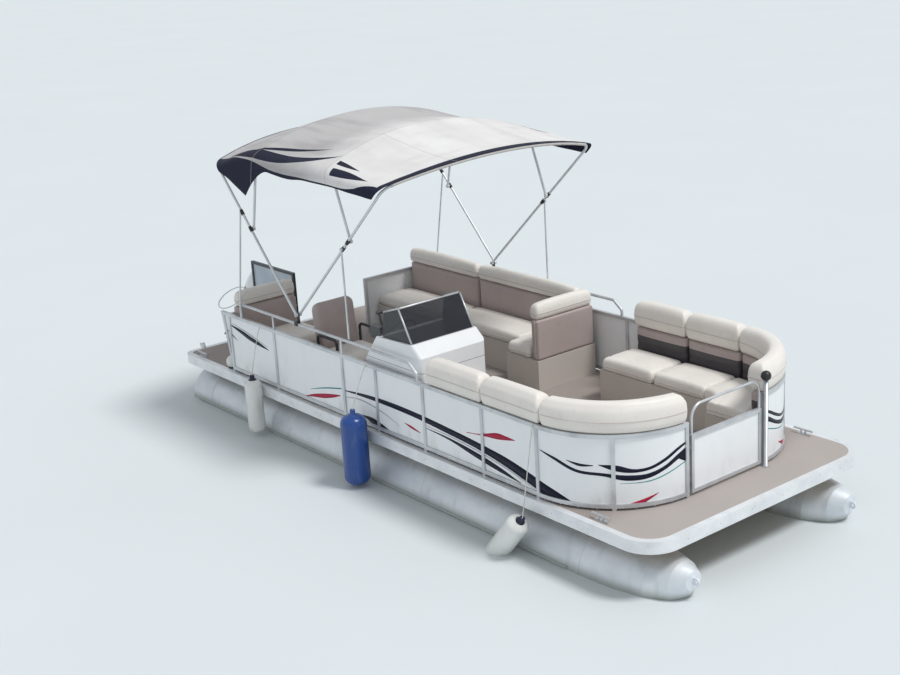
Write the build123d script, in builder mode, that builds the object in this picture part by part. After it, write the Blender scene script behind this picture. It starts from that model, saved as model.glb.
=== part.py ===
from build123d import *
from math import atan2, cos, degrees, hypot, radians, sin
import os

os.makedirs("parts", exist_ok=True)

# A pontoon boat on two aluminium tubes. Millimetres; +X is the bow, +Y port, +Z up.
# z = 0 is the ground under the two keel strips. The boat's own lengths are measured
# forward from the stern edge of the deck, which stands at STERN_X.
STERN_X = -2859.0
DECK_LENGTH = 6900.0
DECK_HALF = 1295.0
DECK_TOP = 840.0

# Tubes
TUBE_R = 317.5
TUBE_Y = DECK_HALF - 360.0
TUBE_Z = 329.5
TUBE_AFT = STERN_X + 40.0
NOSE_START = STERN_X + 6080.0

# Deck
BOARD_TOP = DECK_TOP - 4.0
BOARD_THICK = 26.0
EDGE_WIDTH = 58.0
TRIM_DROP = 100.0
BOW_CORNER = 280.0
STERN_CORNER = 110.0
CROSS_TOP = BOARD_TOP - BOARD_THICK
CROSS_HIGH = 100.0

# Fences
FENCE_Y = DECK_HALF - 45.0
RAIL = 32.0
FENCE_HIGH = 620.0
GATE_X = STERN_X + 6490.0
CORNER_R = 820.0
CORNER_X = GATE_X - CORNER_R
CORNER_Y = FENCE_Y - CORNER_R
STERN_FENCE_X = STERN_X + 1000.0
RAKE_TOP_X = STERN_X + 850.0
RAKE_FOOT_X = STERN_X + 1022.0
POSTS_X = (1850, 3010, 3530, 4210, 4990, 5650)
CORNER_POSTS = (45.0,)
STERN_GATE_Y = -430.0
BOW_HINGE_X = GATE_X - RAIL - 6
BOW_HINGE_Y = -415.0
STERN_HINGE_X = STERN_FENCE_X - RAIL / 2 - 6

# Raised handrail and bimini
HANDRAIL_Z = DECK_TOP + 760.0
HANDRAIL_Y = FENCE_Y - RAIL / 2
RING_R = 155.0
PIVOT_X = STERN_X + 2290.0
PIVOT_Z = HANDRAIL_Z + 90.0
BOW_TUBE = 12.5
AFT_BOW_SIDE = (-1190.0, 1290.0)
FRONT_BOW_SIDE = (1450.0, 1329.0)
AFT_HALF = HANDRAIL_Y + 1.5
FRONT_HALF = AFT_HALF - 39.5

# Lounges
SEAT_BASE = 300.0
SEAT_TOP = 430.0
BACK_TOP = 860.0
BOW_SEAT_AFT = {-1: STERN_X + 4260.0, 1: STERN_X + 4420.0}
PORT_SEAT_FRONT = STERN_X + 3830.0

# Helm
CONSOLE_AFT = STERN_X + 3330.0
CONSOLE_FRONT = STERN_X + 4150.0
CONSOLE_OUT = -FENCE_Y + 60.0
CONSOLE_IN = CONSOLE_OUT + 720.0
HELM_Y = CONSOLE_IN - 330.0
CHAIR_X = STERN_X + 2500.0
CHAIR_Y = HELM_Y

# Outboard motor, drawn running and then tilted up about its tilt tube
TILT_X = STERN_X - 330.0
TILT_Z = 800.0
TILT_REST = 40.0
SIDES = (-1, 1)


def deck_plan(inset):
    # The deck seen from above, shrunk by inset, with round corners.
    with BuildSketch() as plan:
        with Locations((STERN_X + DECK_LENGTH / 2, 0)):
            Rectangle(DECK_LENGTH - 2 * inset, 2 * (DECK_HALF - inset))
        fillet(plan.vertices().group_by(Axis.X)[-1], BOW_CORNER - inset)
        fillet(plan.vertices().group_by(Axis.X)[0], STERN_CORNER - inset)
    return plan.sketch


def side_strip(side, aft, inset, thick):
    # A band that follows one side of the fence from x = aft to the bow gate's post.
    outer = CORNER_R - inset
    inner = outer - thick
    half = sin(radians(45))
    y_out = side * (CORNER_Y + outer)
    y_in = side * (CORNER_Y + inner)
    y_end = side * CORNER_Y
    with BuildSketch() as band:
        with BuildLine():
            Line((aft, y_out), (CORNER_X, y_out))
            ThreePointArc(
                (CORNER_X, y_out),
                (CORNER_X + outer * half, side * (CORNER_Y + outer * half)),
                (CORNER_X + outer, y_end),
            )
            Line((CORNER_X + outer, y_end), (CORNER_X + inner, y_end))
            ThreePointArc(
                (CORNER_X + inner, y_end),
                (CORNER_X + inner * half, side * (CORNER_Y + inner * half)),
                (CORNER_X, y_in),
            )
            Line((CORNER_X, y_in), (aft, y_in))
            Line((aft, y_in), (aft, y_out))
        make_face()
    return band.sketch


def posts_plan(side, size):
    # Squares at the fence posts of one side, from the stern corner to the bow gate.
    at = [(STERN_X + x, side * (FENCE_Y - RAIL / 2)) for x in POSTS_X]
    at.append((STERN_FENCE_X, side * (FENCE_Y - RAIL / 2)))
    with BuildSketch() as squares:
        with Locations(*at):
            Rectangle(size, size)
        for angle in CORNER_POSTS:
            reach = CORNER_R - RAIL / 2
            x = CORNER_X + reach * sin(radians(angle))
            y = side * (CORNER_Y + reach * cos(radians(angle)))
            with Locations(Location((x, y, 0), (0, 0, -side * angle))):
                Rectangle(size, size)
        with Locations((GATE_X - RAIL / 2, side * (CORNER_Y + RAIL / 2))):
            Rectangle(size, size)
    return squares.sketch


def stern_plan(side, thick):
    # The stern fence of one side seen from above, from the side fence to its gate post.
    end = 445.0
    with BuildSketch() as band:
        with Locations((STERN_FENCE_X, side * (end + FENCE_Y - RAIL) / 2)):
            Rectangle(thick, FENCE_Y - RAIL - end)
    return band.sketch


def leg_plane(x, z, angle):
    # The plane that holds a canopy bow: its own x runs across the boat, its own y
    # climbs along the leg at the angle above the bow direction.
    up = (cos(radians(angle)), 0, sin(radians(angle)))
    return Plane(origin=(x, 0, z), x_dir=(0, 1, 0), z_dir=(up[2], 0, -up[0]))


def hoop(half, top, crown_r, shoulder_r, foot, side):
    # Half of a bow: a straight leg, a round shoulder and a crowned top that ends on
    # the centre line. The circles of shoulder and crown touch each other.
    centre = top - crown_r
    reach = half - shoulder_r
    rise = ((crown_r - shoulder_r) ** 2 - reach**2) ** 0.5
    lean = atan2(rise, reach)
    mid = lean / 2
    leg_end = (half, centre + rise)
    shoulder = (reach + shoulder_r * cos(mid), centre + rise + shoulder_r * sin(mid))
    crown = (crown_r * cos(lean), centre + crown_r * sin(lean))
    middle = (lean + radians(90)) / 2
    arc = (crown_r * cos(middle), centre + crown_r * sin(middle))
    points = ((half, foot), leg_end, shoulder, crown, arc, (0, top))
    return [(side * x, y) for x, y in points]


def hoop_lines(half, top, crown_r, shoulder_r, foot):
    # Draws the whole bow into the open line sketch, from port foot to starboard foot.
    port = hoop(half, top, crown_r, shoulder_r, foot, 1)
    other = hoop(half, top, crown_r, shoulder_r, foot, -1)
    return (
        Line(port[0], port[1]),
        ThreePointArc(port[1], port[2], port[3]),
        ThreePointArc(port[3], port[5], other[3]),
        ThreePointArc(other[3], other[2], other[1]),
        Line(other[1], other[0]),
    )


# Hull

# Rings of a tube's nose cone: distance ahead of its start, radius, rise of its middle
NOSE = ((0, TUBE_R, 0), (340, 296, 20), (600, 242, 62), (790, 165, 112), (900, 80, 158))
for name, side in (("pontoon_starboard", -1), ("pontoon_port", 1)):
    with BuildPart() as pontoon:
        with BuildSketch(Plane.YZ.offset(TUBE_AFT)):
            with Locations((side * TUBE_Y, TUBE_Z)):
                Circle(TUBE_R)
        extrude(amount=NOSE_START - TUBE_AFT)
        for ahead, radius, rise in NOSE:
            with BuildSketch(Plane.YZ.offset(NOSE_START + ahead)):
                with Locations((side * TUBE_Y, TUBE_Z + rise)):
                    Circle(radius)
        loft(ruled=True)
        with Locations(((TUBE_AFT + NOSE_START) / 2, side * TUBE_Y, 14)):
            Box(NOSE_START - TUBE_AFT - 200, 50, 28)
        for across, up, wide, high in ((TUBE_R + 4, 30, 30, 10), (TUBE_R - 22, -125, 40, 12)):
            with Locations(((TUBE_AFT + NOSE_START) / 2, side * (TUBE_Y + across), TUBE_Z + up)):
                Box(NOSE_START - TUBE_AFT - 240, wide, high)
        with BuildSketch(Plane.XZ.offset(-side * TUBE_Y + 6)):
            with Locations((NOSE_START + 900, TUBE_Z + 158)):
                SlotOverall(110, 60)
        extrude(amount=-12)
        with Locations((NOSE_START + 928, side * TUBE_Y, TUBE_Z + 158)):
            Cylinder(12, 40, rotation=(90, 0, 0), mode=Mode.SUBTRACT)
    pontoon.part.label = name
    export_step(pontoon.part, f"parts/{name}.step")

CROSS_X = [STERN_X + 170 + 610 * step for step in range(11)]
with BuildPart() as brackets:
    low, high = TUBE_Z + 200, CROSS_TOP - CROSS_HIGH
    for side in SIDES:
        with Locations(*[(x, side * TUBE_Y, (low + high) / 2) for x in CROSS_X]):
            Box(50, 330, high - low)
    with Locations(*[(STERN_X + 3200, side * TUBE_Y, TUBE_Z) for side in SIDES]):
        Cylinder(TUBE_R, 7200, rotation=(0, 90, 0), mode=Mode.SUBTRACT)
brackets.part.label = "tube_brackets"
export_step(brackets.part, "parts/tube_brackets.step")

with BuildPart() as beams:
    with Locations(*[(x, 0, CROSS_TOP - CROSS_HIGH / 2) for x in CROSS_X]):
        Box(64, 2 * FENCE_Y, CROSS_HIGH)
        Box(52, 2 * FENCE_Y, CROSS_HIGH - 12, mode=Mode.SUBTRACT)
beams.part.label = "cross_members"
export_step(beams.part, "parts/cross_members.step")

with BuildPart() as deck:
    with BuildSketch(Plane.XY.offset(BOARD_TOP)):
        add(deck_plan(16))
    extrude(amount=-BOARD_THICK)
deck.part.label = "deck_board"
export_step(deck.part, "parts/deck_board.step")

with BuildPart() as carpet:
    with BuildSketch(Plane.XY.offset(BOARD_TOP)):
        add(deck_plan(EDGE_WIDTH))
    extrude(amount=DECK_TOP - BOARD_TOP)
carpet.part.label = "deck_carpet"
export_step(carpet.part, "parts/deck_carpet.step")

with BuildPart() as trim:
    with BuildSketch(Plane.XY.offset(DECK_TOP - TRIM_DROP)):
        add(deck_plan(0))
        add(deck_plan(16), mode=Mode.SUBTRACT)
    extrude(amount=TRIM_DROP)
    with BuildSketch(Plane.XY.offset(BOARD_TOP)):
        add(deck_plan(8))
        add(deck_plan(EDGE_WIDTH), mode=Mode.SUBTRACT)
    extrude(amount=DECK_TOP - BOARD_TOP)
trim.part.label = "deck_trim"
export_step(trim.part, "parts/deck_trim.step")

# Fences: square tube frames with flat panels between them

# Where the raked bar meets the stern fence, above the bar's foot
RAKE_RUN = RAKE_FOOT_X - 6 - STERN_FENCE_X + RAIL / 2
RAKE_RISE = (FENCE_HIGH - 20 - RAIL) * RAKE_RUN / (RAKE_FOOT_X - 56 - RAKE_TOP_X)

for side, name in ((-1, "starboard"), (1, "port")):
    with BuildPart() as frame:
        for low in (20, FENCE_HIGH - RAIL):
            with BuildSketch(Plane.XY.offset(DECK_TOP + low)):
                add(side_strip(side, STERN_FENCE_X, 0, RAIL))
                add(stern_plan(side, RAIL))
            extrude(amount=RAIL)
        with BuildSketch(Plane.XY.offset(DECK_TOP)):
            add(posts_plan(side, RAIL))
            with Locations((STERN_FENCE_X, side * 461)):
                Rectangle(RAIL, RAIL)
        extrude(amount=FENCE_HIGH)
        # raked end that sweeps aft past the stern fence
        with BuildSketch(Plane.XZ.offset(-side * FENCE_Y if side > 0 else FENCE_Y)):
            with BuildLine():
                Polyline(
                    (STERN_FENCE_X, DECK_TOP + FENCE_HIGH),
                    (RAKE_TOP_X, DECK_TOP + FENCE_HIGH),
                    (RAKE_FOOT_X - 40, DECK_TOP + 20),
                    (RAKE_FOOT_X - 6, DECK_TOP + 20),
                    (RAKE_TOP_X + 50, DECK_TOP + FENCE_HIGH - RAIL),
                    (STERN_FENCE_X, DECK_TOP + FENCE_HIGH - RAIL),
                    close=True,
                )
            make_face()
        extrude(amount=RAIL if side > 0 else -RAIL)
    frame.part.label = f"fence_frame_{name}"
    export_step(frame.part, f"parts/fence_frame_{name}.step")

    with BuildPart() as panels:
        with BuildSketch(Plane.XY.offset(DECK_TOP + 20 + RAIL)):
            add(side_strip(side, STERN_FENCE_X, 12, 5))
            with Locations((STERN_FENCE_X, side * (445 + FENCE_Y) / 2)):
                Rectangle(5, FENCE_Y - 445 - RAIL)
            add(posts_plan(side, RAIL), mode=Mode.SUBTRACT)
            with Locations((STERN_FENCE_X, side * 461)):
                Rectangle(RAIL, RAIL, mode=Mode.SUBTRACT)
        extrude(amount=FENCE_HIGH - 20 - 2 * RAIL)
        with BuildSketch(Plane.XZ.offset(-side * (FENCE_Y - 12))):
            with BuildLine():
                Polyline(
                    (STERN_FENCE_X - RAIL / 2, DECK_TOP + FENCE_HIGH - RAIL),
                    (RAKE_TOP_X + 50, DECK_TOP + FENCE_HIGH - RAIL),
                    (STERN_FENCE_X - RAIL / 2, DECK_TOP + 20 + RAKE_RISE),
                    close=True,
                )
            make_face()
        extrude(amount=side * 5)
    panels.part.label = f"fence_panels_{name}"
    export_step(panels.part, f"parts/fence_panels_{name}.step")

with BuildPart() as handrails:
    for side in SIDES:
        with BuildLine() as rail_path:
            FilletPolyline(
                (STERN_X + 1240, side * HANDRAIL_Y, DECK_TOP + FENCE_HIGH),
                (STERN_X + 1240, side * HANDRAIL_Y, HANDRAIL_Z),
                (STERN_X + 4030, side * HANDRAIL_Y, HANDRAIL_Z),
                (STERN_X + 4140, side * HANDRAIL_Y, HANDRAIL_Z - 80),
                (STERN_X + 4140, side * HANDRAIL_Y, DECK_TOP + FENCE_HIGH),
                radius=50,
            )
        with BuildSketch(Plane(origin=rail_path.wire() @ 0, z_dir=rail_path.wire() % 0)):
            Circle(14)
        sweep()
        middle = (DECK_TOP + FENCE_HIGH + HANDRAIL_Z) / 2
        with Locations(*[(STERN_X + x, side * HANDRAIL_Y, middle) for x in (1850, 3010)]):
            Cylinder(12, HANDRAIL_Z - DECK_TOP - FENCE_HIGH)
    # the wire ring at the stern end of the starboard rail, its outboard side lower
    with Locations((STERN_X + 1240, -HANDRAIL_Y, HANDRAIL_Z - 20)):
        Cylinder(7, 130)
    with Locations(Location((STERN_X + 1240 - RING_R, -HANDRAIL_Y, HANDRAIL_Z + 40), (30, 0, 0))):
        Torus(RING_R, 5)
handrails.part.label = "handrails"
export_step(handrails.part, "parts/handrails.step")

# Gates: the bow gate is shut and opens inward; the stern gate stands open, aft

with BuildPart() as hinges:
    for x, y, post_x, post_y, levels in (
        (BOW_HINGE_X, BOW_HINGE_Y, GATE_X - RAIL, -CORNER_Y, (110, 380)),
        (STERN_HINGE_X, STERN_GATE_Y, STERN_FENCE_X - RAIL / 2, -445.0, (340, 520)),
    ):
        for level in levels:
            with Locations((x, y, DECK_TOP + level + 24)):
                Cylinder(5, 60)
            with Locations(((x + post_x) / 2 + 4, (y + post_y) / 2 - 2, DECK_TOP + level)):
                Box(abs(post_x - x) + 16, abs(post_y - y) + 12, 12)
            with Locations((post_x + RAIL / 2, post_y - RAIL / 2, DECK_TOP + level)):
                Box(RAIL, RAIL, 14, mode=Mode.SUBTRACT)
hinges.part.label = "gate_hinges"
export_step(hinges.part, "parts/gate_hinges.step")

BOW_GATE = (-400.0, 422.0, 25.0, 500.0)
with BuildPart() as bow_gate:
    low, high, bottom, top = BOW_GATE
    with BuildSketch(Plane.YZ.offset(GATE_X - RAIL)):
        with Locations(((low + high) / 2, DECK_TOP + (bottom + top) / 2)):
            Rectangle(high - low, top - bottom)
            Rectangle(high - low - 56, top - bottom - 56, mode=Mode.SUBTRACT)
    extrude(amount=RAIL)
    with BuildLine() as arch:
        FilletPolyline(
            (GATE_X - 16, low + 14, DECK_TOP + top),
            (GATE_X - 16, low + 14, DECK_TOP + 740),
            (GATE_X - 16, high - 14, DECK_TOP + 740),
            (GATE_X - 16, high - 14, DECK_TOP + top),
            radius=110,
        )
    with BuildSketch(Plane(origin=arch.wire() @ 0, z_dir=arch.wire() % 0)):
        Circle(11)
    sweep()
    for level in (110, 380):
        with Locations((BOW_HINGE_X + 4, BOW_HINGE_Y + 9, DECK_TOP + level + 24)):
            Box(20, 14, 30)
        with Locations((BOW_HINGE_X, BOW_HINGE_Y, DECK_TOP + level + 24)):
            Cylinder(9, 30)
            Cylinder(5.3, 40, mode=Mode.SUBTRACT)
bow_gate.part.label = "bow_gate_frame"
export_step(bow_gate.part, "parts/bow_gate_frame.step")

with BuildPart() as bow_gate_panel:
    right, left, low, high = BOW_GATE
    with Locations((GATE_X - 14, (right + left) / 2, DECK_TOP + (low + high) / 2)):
        Box(5, left - right - 56, high - low - 56)
bow_gate_panel.part.label = "bow_gate_panel"
export_step(bow_gate_panel.part, "parts/bow_gate_panel.step")

STERN_GATE = (STERN_HINGE_X - 855, STERN_HINGE_X - 15, 275.0, 860.0)
STERN_GATE_FACE = STERN_GATE_Y + 22
with BuildPart() as stern_gate:
    aft, fore, bottom, top = STERN_GATE
    with Locations(((aft + fore) / 2, STERN_GATE_FACE, DECK_TOP + (bottom + top) / 2)):
        Box(fore - aft, RAIL, top - bottom)
        Box(fore - aft - 52, RAIL, top - bottom - 52, mode=Mode.SUBTRACT)
    with Locations((aft + 13, STERN_GATE_FACE, DECK_TOP + (bottom + 30) / 2)):
        Cylinder(10, bottom - 30)
    for level in (340, 520):
        with Locations((STERN_HINGE_X - 9, STERN_GATE_Y + 4, DECK_TOP + level + 24)):
            Box(14, 20, 30)
        with Locations((STERN_HINGE_X, STERN_GATE_Y, DECK_TOP + level + 24)):
            Cylinder(9, 30)
            Cylinder(5.3, 40, mode=Mode.SUBTRACT)
stern_gate.part.label = "stern_gate_frame"
export_step(stern_gate.part, "parts/stern_gate_frame.step")

with BuildPart() as stern_gate_panel:
    aft, fore, low, high = STERN_GATE
    with Locations(((aft + fore) / 2, STERN_GATE_FACE, DECK_TOP + (low + high) / 2)):
        Box(fore - aft - 52, 6, high - low - 52)
stern_gate_panel.part.label = "stern_gate_panel"
export_step(stern_gate_panel.part, "parts/stern_gate_panel.step")

with BuildPart() as gate_foot:
    with Locations((STERN_GATE[0] + 13, STERN_GATE_FACE, DECK_TOP + 19)):
        Cylinder(18, 22)
gate_foot.part.label = "stern_gate_foot"
export_step(gate_foot.part, "parts/stern_gate_foot.step")

# Lounges: plastic bases, seats, backs inside the fence and rolls on top of it

BACK_INSET = RAIL + 10
SEAT_INSET = BACK_INSET + 116
with BuildPart() as bases:
    with BuildSketch(Plane.XY.offset(DECK_TOP)):
        for side in SIDES:
            add(side_strip(side, BOW_SEAT_AFT[side], BACK_INSET, 560))
    extrude(amount=SEAT_BASE)
bases.part.label = "bow_lounge_bases"
export_step(bases.part, "parts/bow_lounge_bases.step")

with BuildPart() as seats:
    with BuildSketch(Plane.XY.offset(DECK_TOP + SEAT_BASE)):
        for side in SIDES:
            add(side_strip(side, BOW_SEAT_AFT[side] + 6, SEAT_INSET, 446))
    extrude(amount=SEAT_TOP - SEAT_BASE)
    fillet(seats.edges().filter_by(Plane.XY).group_by(Axis.Z)[-1], 28)
seats.part.label = "bow_lounge_seats"
export_step(seats.part, "parts/bow_lounge_seats.step")

with BuildPart() as backs:
    with BuildSketch(Plane.XY.offset(DECK_TOP + SEAT_BASE)):
        for side in SIDES:
            add(side_strip(side, BOW_SEAT_AFT[side] + 6, BACK_INSET, 110))
    extrude(amount=FENCE_HIGH - SEAT_BASE)
backs.part.label = "bow_lounge_backs"
export_step(backs.part, "parts/bow_lounge_backs.step")

with BuildPart() as rolls:
    with BuildSketch(Plane.XY.offset(DECK_TOP + FENCE_HIGH)):
        for side in SIDES:
            add(side_strip(side, BOW_SEAT_AFT[side], -8, 176))
    extrude(amount=BACK_TOP - FENCE_HIGH)
    fillet(rolls.edges().filter_by(Plane.XY).group_by(Axis.Z)[-1], 55)
rolls.part.label = "bow_lounge_rolls"
export_step(rolls.part, "parts/bow_lounge_rolls.step")

LOUNGE_AFT = STERN_FENCE_X + 24
PORT_BACK_OUT = FRONT_HALF - 36.0
PORT_BACK_IN = PORT_BACK_OUT - 114.0
PORT_SEAT_IN = PORT_BACK_OUT - 560.0
CHAISE_IN = PORT_SEAT_IN - 180.0
STERN_SEAT_FRONT = STERN_FENCE_X + 700
STERN_SEAT_OUT = -FENCE_Y + BACK_INSET
STERN_SEAT_IN = STERN_SEAT_OUT + 708.0
with BuildPart() as aft_bases:
    for low, high, inner, outer in (
        (LOUNGE_AFT, PORT_SEAT_FRONT, PORT_SEAT_IN, PORT_BACK_OUT + 4),
        (PORT_SEAT_FRONT - 460, PORT_SEAT_FRONT, CHAISE_IN, PORT_SEAT_IN + 1),
        (LOUNGE_AFT, STERN_SEAT_FRONT, STERN_SEAT_OUT, STERN_SEAT_IN),
    ):
        with Locations(((low + high) / 2, (inner + outer) / 2, DECK_TOP + SEAT_BASE / 2)):
            Box(high - low, outer - inner, SEAT_BASE)
aft_bases.part.label = "aft_lounge_bases"
export_step(aft_bases.part, "parts/aft_lounge_bases.step")

with BuildPart() as aft_seats:
    for low, high, inner, outer in (
        (LOUNGE_AFT + 4, LOUNGE_AFT + 1180, PORT_SEAT_IN + 6, PORT_BACK_IN - 6),
        (LOUNGE_AFT + 1186, PORT_SEAT_FRONT - 470, PORT_SEAT_IN + 6, PORT_BACK_IN - 6),
        (PORT_SEAT_FRONT - 464, PORT_SEAT_FRONT - 132, CHAISE_IN + 6, PORT_BACK_IN - 6),
        (LOUNGE_AFT + 122, STERN_SEAT_FRONT - 4, STERN_SEAT_OUT + 4, STERN_SEAT_IN - 4),
    ):
        with Locations(((low + high) / 2, (inner + outer) / 2, DECK_TOP + (SEAT_BASE + SEAT_TOP) / 2)):
            Box(high - low, outer - inner, SEAT_TOP - SEAT_BASE)
    fillet(aft_seats.edges().filter_by(Plane.XY).group_by(Axis.Z)[-1], 28)
aft_seats.part.label = "aft_lounge_seats"
export_step(aft_seats.part, "parts/aft_lounge_seats.step")

with BuildPart() as aft_backs:
    for low, high, inner, outer in (
        (LOUNGE_AFT + 4, LOUNGE_AFT + 1180, PORT_BACK_IN, PORT_BACK_OUT),
        (LOUNGE_AFT + 1186, PORT_SEAT_FRONT - 132, PORT_BACK_IN, PORT_BACK_OUT),
        (PORT_SEAT_FRONT - 124, PORT_SEAT_FRONT, CHAISE_IN + 4, PORT_BACK_OUT),
        (LOUNGE_AFT + 4, LOUNGE_AFT + 116, STERN_SEAT_OUT + 4, STERN_SEAT_IN - 4),
    ):
        with Locations(((low + high) / 2, (inner + outer) / 2, DECK_TOP + (SEAT_BASE + BACK_TOP) / 2)):
            Box(high - low, outer - inner, BACK_TOP - SEAT_BASE)
    fillet(aft_backs.edges().filter_by(Plane.XY).group_by(Axis.Z)[-1], 40)
aft_backs.part.label = "aft_lounge_backs"
export_step(aft_backs.part, "parts/aft_lounge_backs.step")

# Helm: console with a raked dash, tinted screen, wheel, throttle and swivel chair

with BuildPart() as console:
    with BuildSketch(Plane.XZ.offset(-CONSOLE_IN)):
        with BuildLine():
            Polyline(
                (CONSOLE_AFT + 90, DECK_TOP),
                (CONSOLE_AFT, DECK_TOP + 520),
                (CONSOLE_AFT, DECK_TOP + 640),
                (CONSOLE_AFT + 190, DECK_TOP + 880),
                (CONSOLE_FRONT - 120, DECK_TOP + 900),
                (CONSOLE_FRONT, DECK_TOP + 800),
                (CONSOLE_FRONT, DECK_TOP),
                close=True,
            )
        make_face()
    extrude(amount=CONSOLE_IN - CONSOLE_OUT)
    fillet(console.edges().filter_by(Plane.XZ).sort_by(Axis.X)[-3:], 30)
console.part.label = "helm_console"
export_step(console.part, "parts/helm_console.step")

DASH = Plane(
    origin=(CONSOLE_AFT + 95, HELM_Y, DECK_TOP + 760),
    x_dir=(0, -1, 0),
    z_dir=(-240 / hypot(190, 240), 0, 190 / hypot(190, 240)),
)
with BuildPart() as dash:
    with BuildSketch(DASH):
        RectangleRounded(520, 240, 30)
    extrude(amount=8)
    with BuildSketch(DASH.offset(8)):
        with Locations((-60, 55), (30, 55), (120, 55), (210, 55)):
            Circle(36)
    extrude(amount=8)
    with BuildSketch(DASH.offset(8)):
        with Locations((0, -40)):
            Circle(24)
    extrude(amount=70)
dash.part.label = "helm_dash"
export_step(dash.part, "parts/helm_dash.step")

with BuildPart() as wheel:
    with BuildSketch(DASH.offset(78.3)):
        with Locations((0, -40)):
            Circle(40)
    extrude(amount=22)
    with BuildSketch(DASH.offset(84)):
        for angle in (90, 210, 330):
            with Locations(Location((0, -40), angle)):
                with Locations((85, 0)):
                    Rectangle(170, 34)
    extrude(amount=10)
    with Locations(DASH.offset(89).location * Location((0, -40, 0))):
        Torus(166, 12)
wheel.part.label = "steering_wheel"
export_step(wheel.part, "parts/steering_wheel.step")

with BuildPart() as throttle:
    with Locations((CONSOLE_AFT + 140, CONSOLE_OUT + 60, DECK_TOP + 900)):
        Box(150, 70, 110)
    with Locations(Location((CONSOLE_AFT + 130, CONSOLE_OUT + 108, DECK_TOP + 970), (0, -15, 0))):
        Cylinder(9, 170)
    with Locations((CONSOLE_AFT + 108, CONSOLE_OUT + 108, DECK_TOP + 1060)):
        Cylinder(16, 60, rotation=(90, 0, 0))
    with Locations((CONSOLE_AFT + 140, CONSOLE_OUT + 96, DECK_TOP + 900)):
        Cylinder(24, 30, rotation=(90, 0, 0))
    with BuildSketch(Plane.XZ.offset(-CONSOLE_IN)):
        with BuildLine():
            Polyline(
                (CONSOLE_AFT, DECK_TOP + 500),
                (CONSOLE_AFT, DECK_TOP + 640),
                (CONSOLE_AFT + 190, DECK_TOP + 880),
                (CONSOLE_FRONT - 120, DECK_TOP + 900),
                (CONSOLE_FRONT, DECK_TOP + 500),
                close=True,
            )
        make_face()
    extrude(amount=CONSOLE_IN - CONSOLE_OUT, mode=Mode.SUBTRACT)
throttle.part.label = "throttle_control"
export_step(throttle.part, "parts/throttle_control.step")

with BuildPart() as screen:
    for inset, mode in ((0, Mode.ADD), (7, Mode.SUBTRACT)):
        with BuildSketch(Plane.XZ.offset(-CONSOLE_IN + 20 + inset)):
            with BuildLine():
                Polyline(
                    (CONSOLE_AFT + 250, DECK_TOP + 882.5),
                    (CONSOLE_FRONT - 140 - inset * 1.3, DECK_TOP + 899.4),
                    (CONSOLE_FRONT - 300 - inset * 1.3, DECK_TOP + 1190),
                    (CONSOLE_AFT + 300, DECK_TOP + 1120),
                    close=True,
                )
            make_face()
        extrude(amount=CONSOLE_IN - CONSOLE_OUT - 40 - 2 * inset, mode=mode)
    with Locations((CONSOLE_AFT + 200, (CONSOLE_IN + CONSOLE_OUT) / 2, DECK_TOP + 1050)):
        Box(120, 900, 400, mode=Mode.SUBTRACT)
screen.part.label = "helm_screen"
export_step(screen.part, "parts/helm_screen.step")

with BuildPart() as pedestal:
    with Locations((CHAIR_X, CHAIR_Y, DECK_TOP + 6)):
        Cylinder(150, 12)
    with Locations((CHAIR_X, CHAIR_Y, DECK_TOP + 170)):
        Cylinder(36, 328)
pedestal.part.label = "chair_pedestal"
export_step(pedestal.part, "parts/chair_pedestal.step")

with BuildPart() as chair_frame:
    with Locations((CHAIR_X, CHAIR_Y, DECK_TOP + 347)):
        Box(260, 260, 25.4)
    with Locations((CHAIR_X - 170, CHAIR_Y, DECK_TOP + 349), (CHAIR_X + 150, CHAIR_Y, DECK_TOP + 349)):
        Box(30, 518, 20)
    with Locations((CHAIR_X - 10, CHAIR_Y, DECK_TOP + 349)):
        Box(320, 60, 20)
    for out in (-245, 245):
        with BuildLine() as arm:
            FilletPolyline(
                (CHAIR_X - 170, CHAIR_Y + out, DECK_TOP + 349),
                (CHAIR_X - 170, CHAIR_Y + out, DECK_TOP + 620),
                (CHAIR_X + 150, CHAIR_Y + out, DECK_TOP + 620),
                (CHAIR_X + 150, CHAIR_Y + out, DECK_TOP + 349),
                radius=50,
            )
        with BuildSketch(Plane(origin=arm.wire() @ 0, z_dir=arm.wire() % 0)):
            Circle(14)
        sweep()
chair_frame.part.label = "chair_frame"
export_step(chair_frame.part, "parts/chair_frame.step")

with BuildPart() as chair:
    with BuildSketch(Plane.XZ.offset(-CHAIR_Y - 230)):
        with Locations((CHAIR_X + 55, DECK_TOP + 425)):
            RectangleRounded(410, 130, 40)
        with Locations(Location((CHAIR_X - 212, DECK_TOP + 650, 0), 6)):
            RectangleRounded(110, 520, 45)
    extrude(amount=460)
chair.part.label = "chair_cushions"
export_step(chair.part, "parts/chair_cushions.step")

# Bimini: two main bows in a V on each side pivot, two shorter bows, braces, canopy

MAIN_CROWN = 3400.0
HOOP_CROWN = 3000.0
AFT_ANGLE = degrees(atan2(AFT_BOW_SIDE[1], AFT_BOW_SIDE[0]))
FRONT_ANGLE = degrees(atan2(FRONT_BOW_SIDE[1], FRONT_BOW_SIDE[0]))


def on_leg(angle, reach):
    # A point on a main bow's leg, so far from the side pivot.
    return (PIVOT_X + reach * cos(radians(angle)), PIVOT_Z + reach * sin(radians(angle)))


AFT_JOINT = on_leg(AFT_ANGLE, 1000)
FRONT_JOINT = on_leg(FRONT_ANGLE, 1240)
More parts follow.
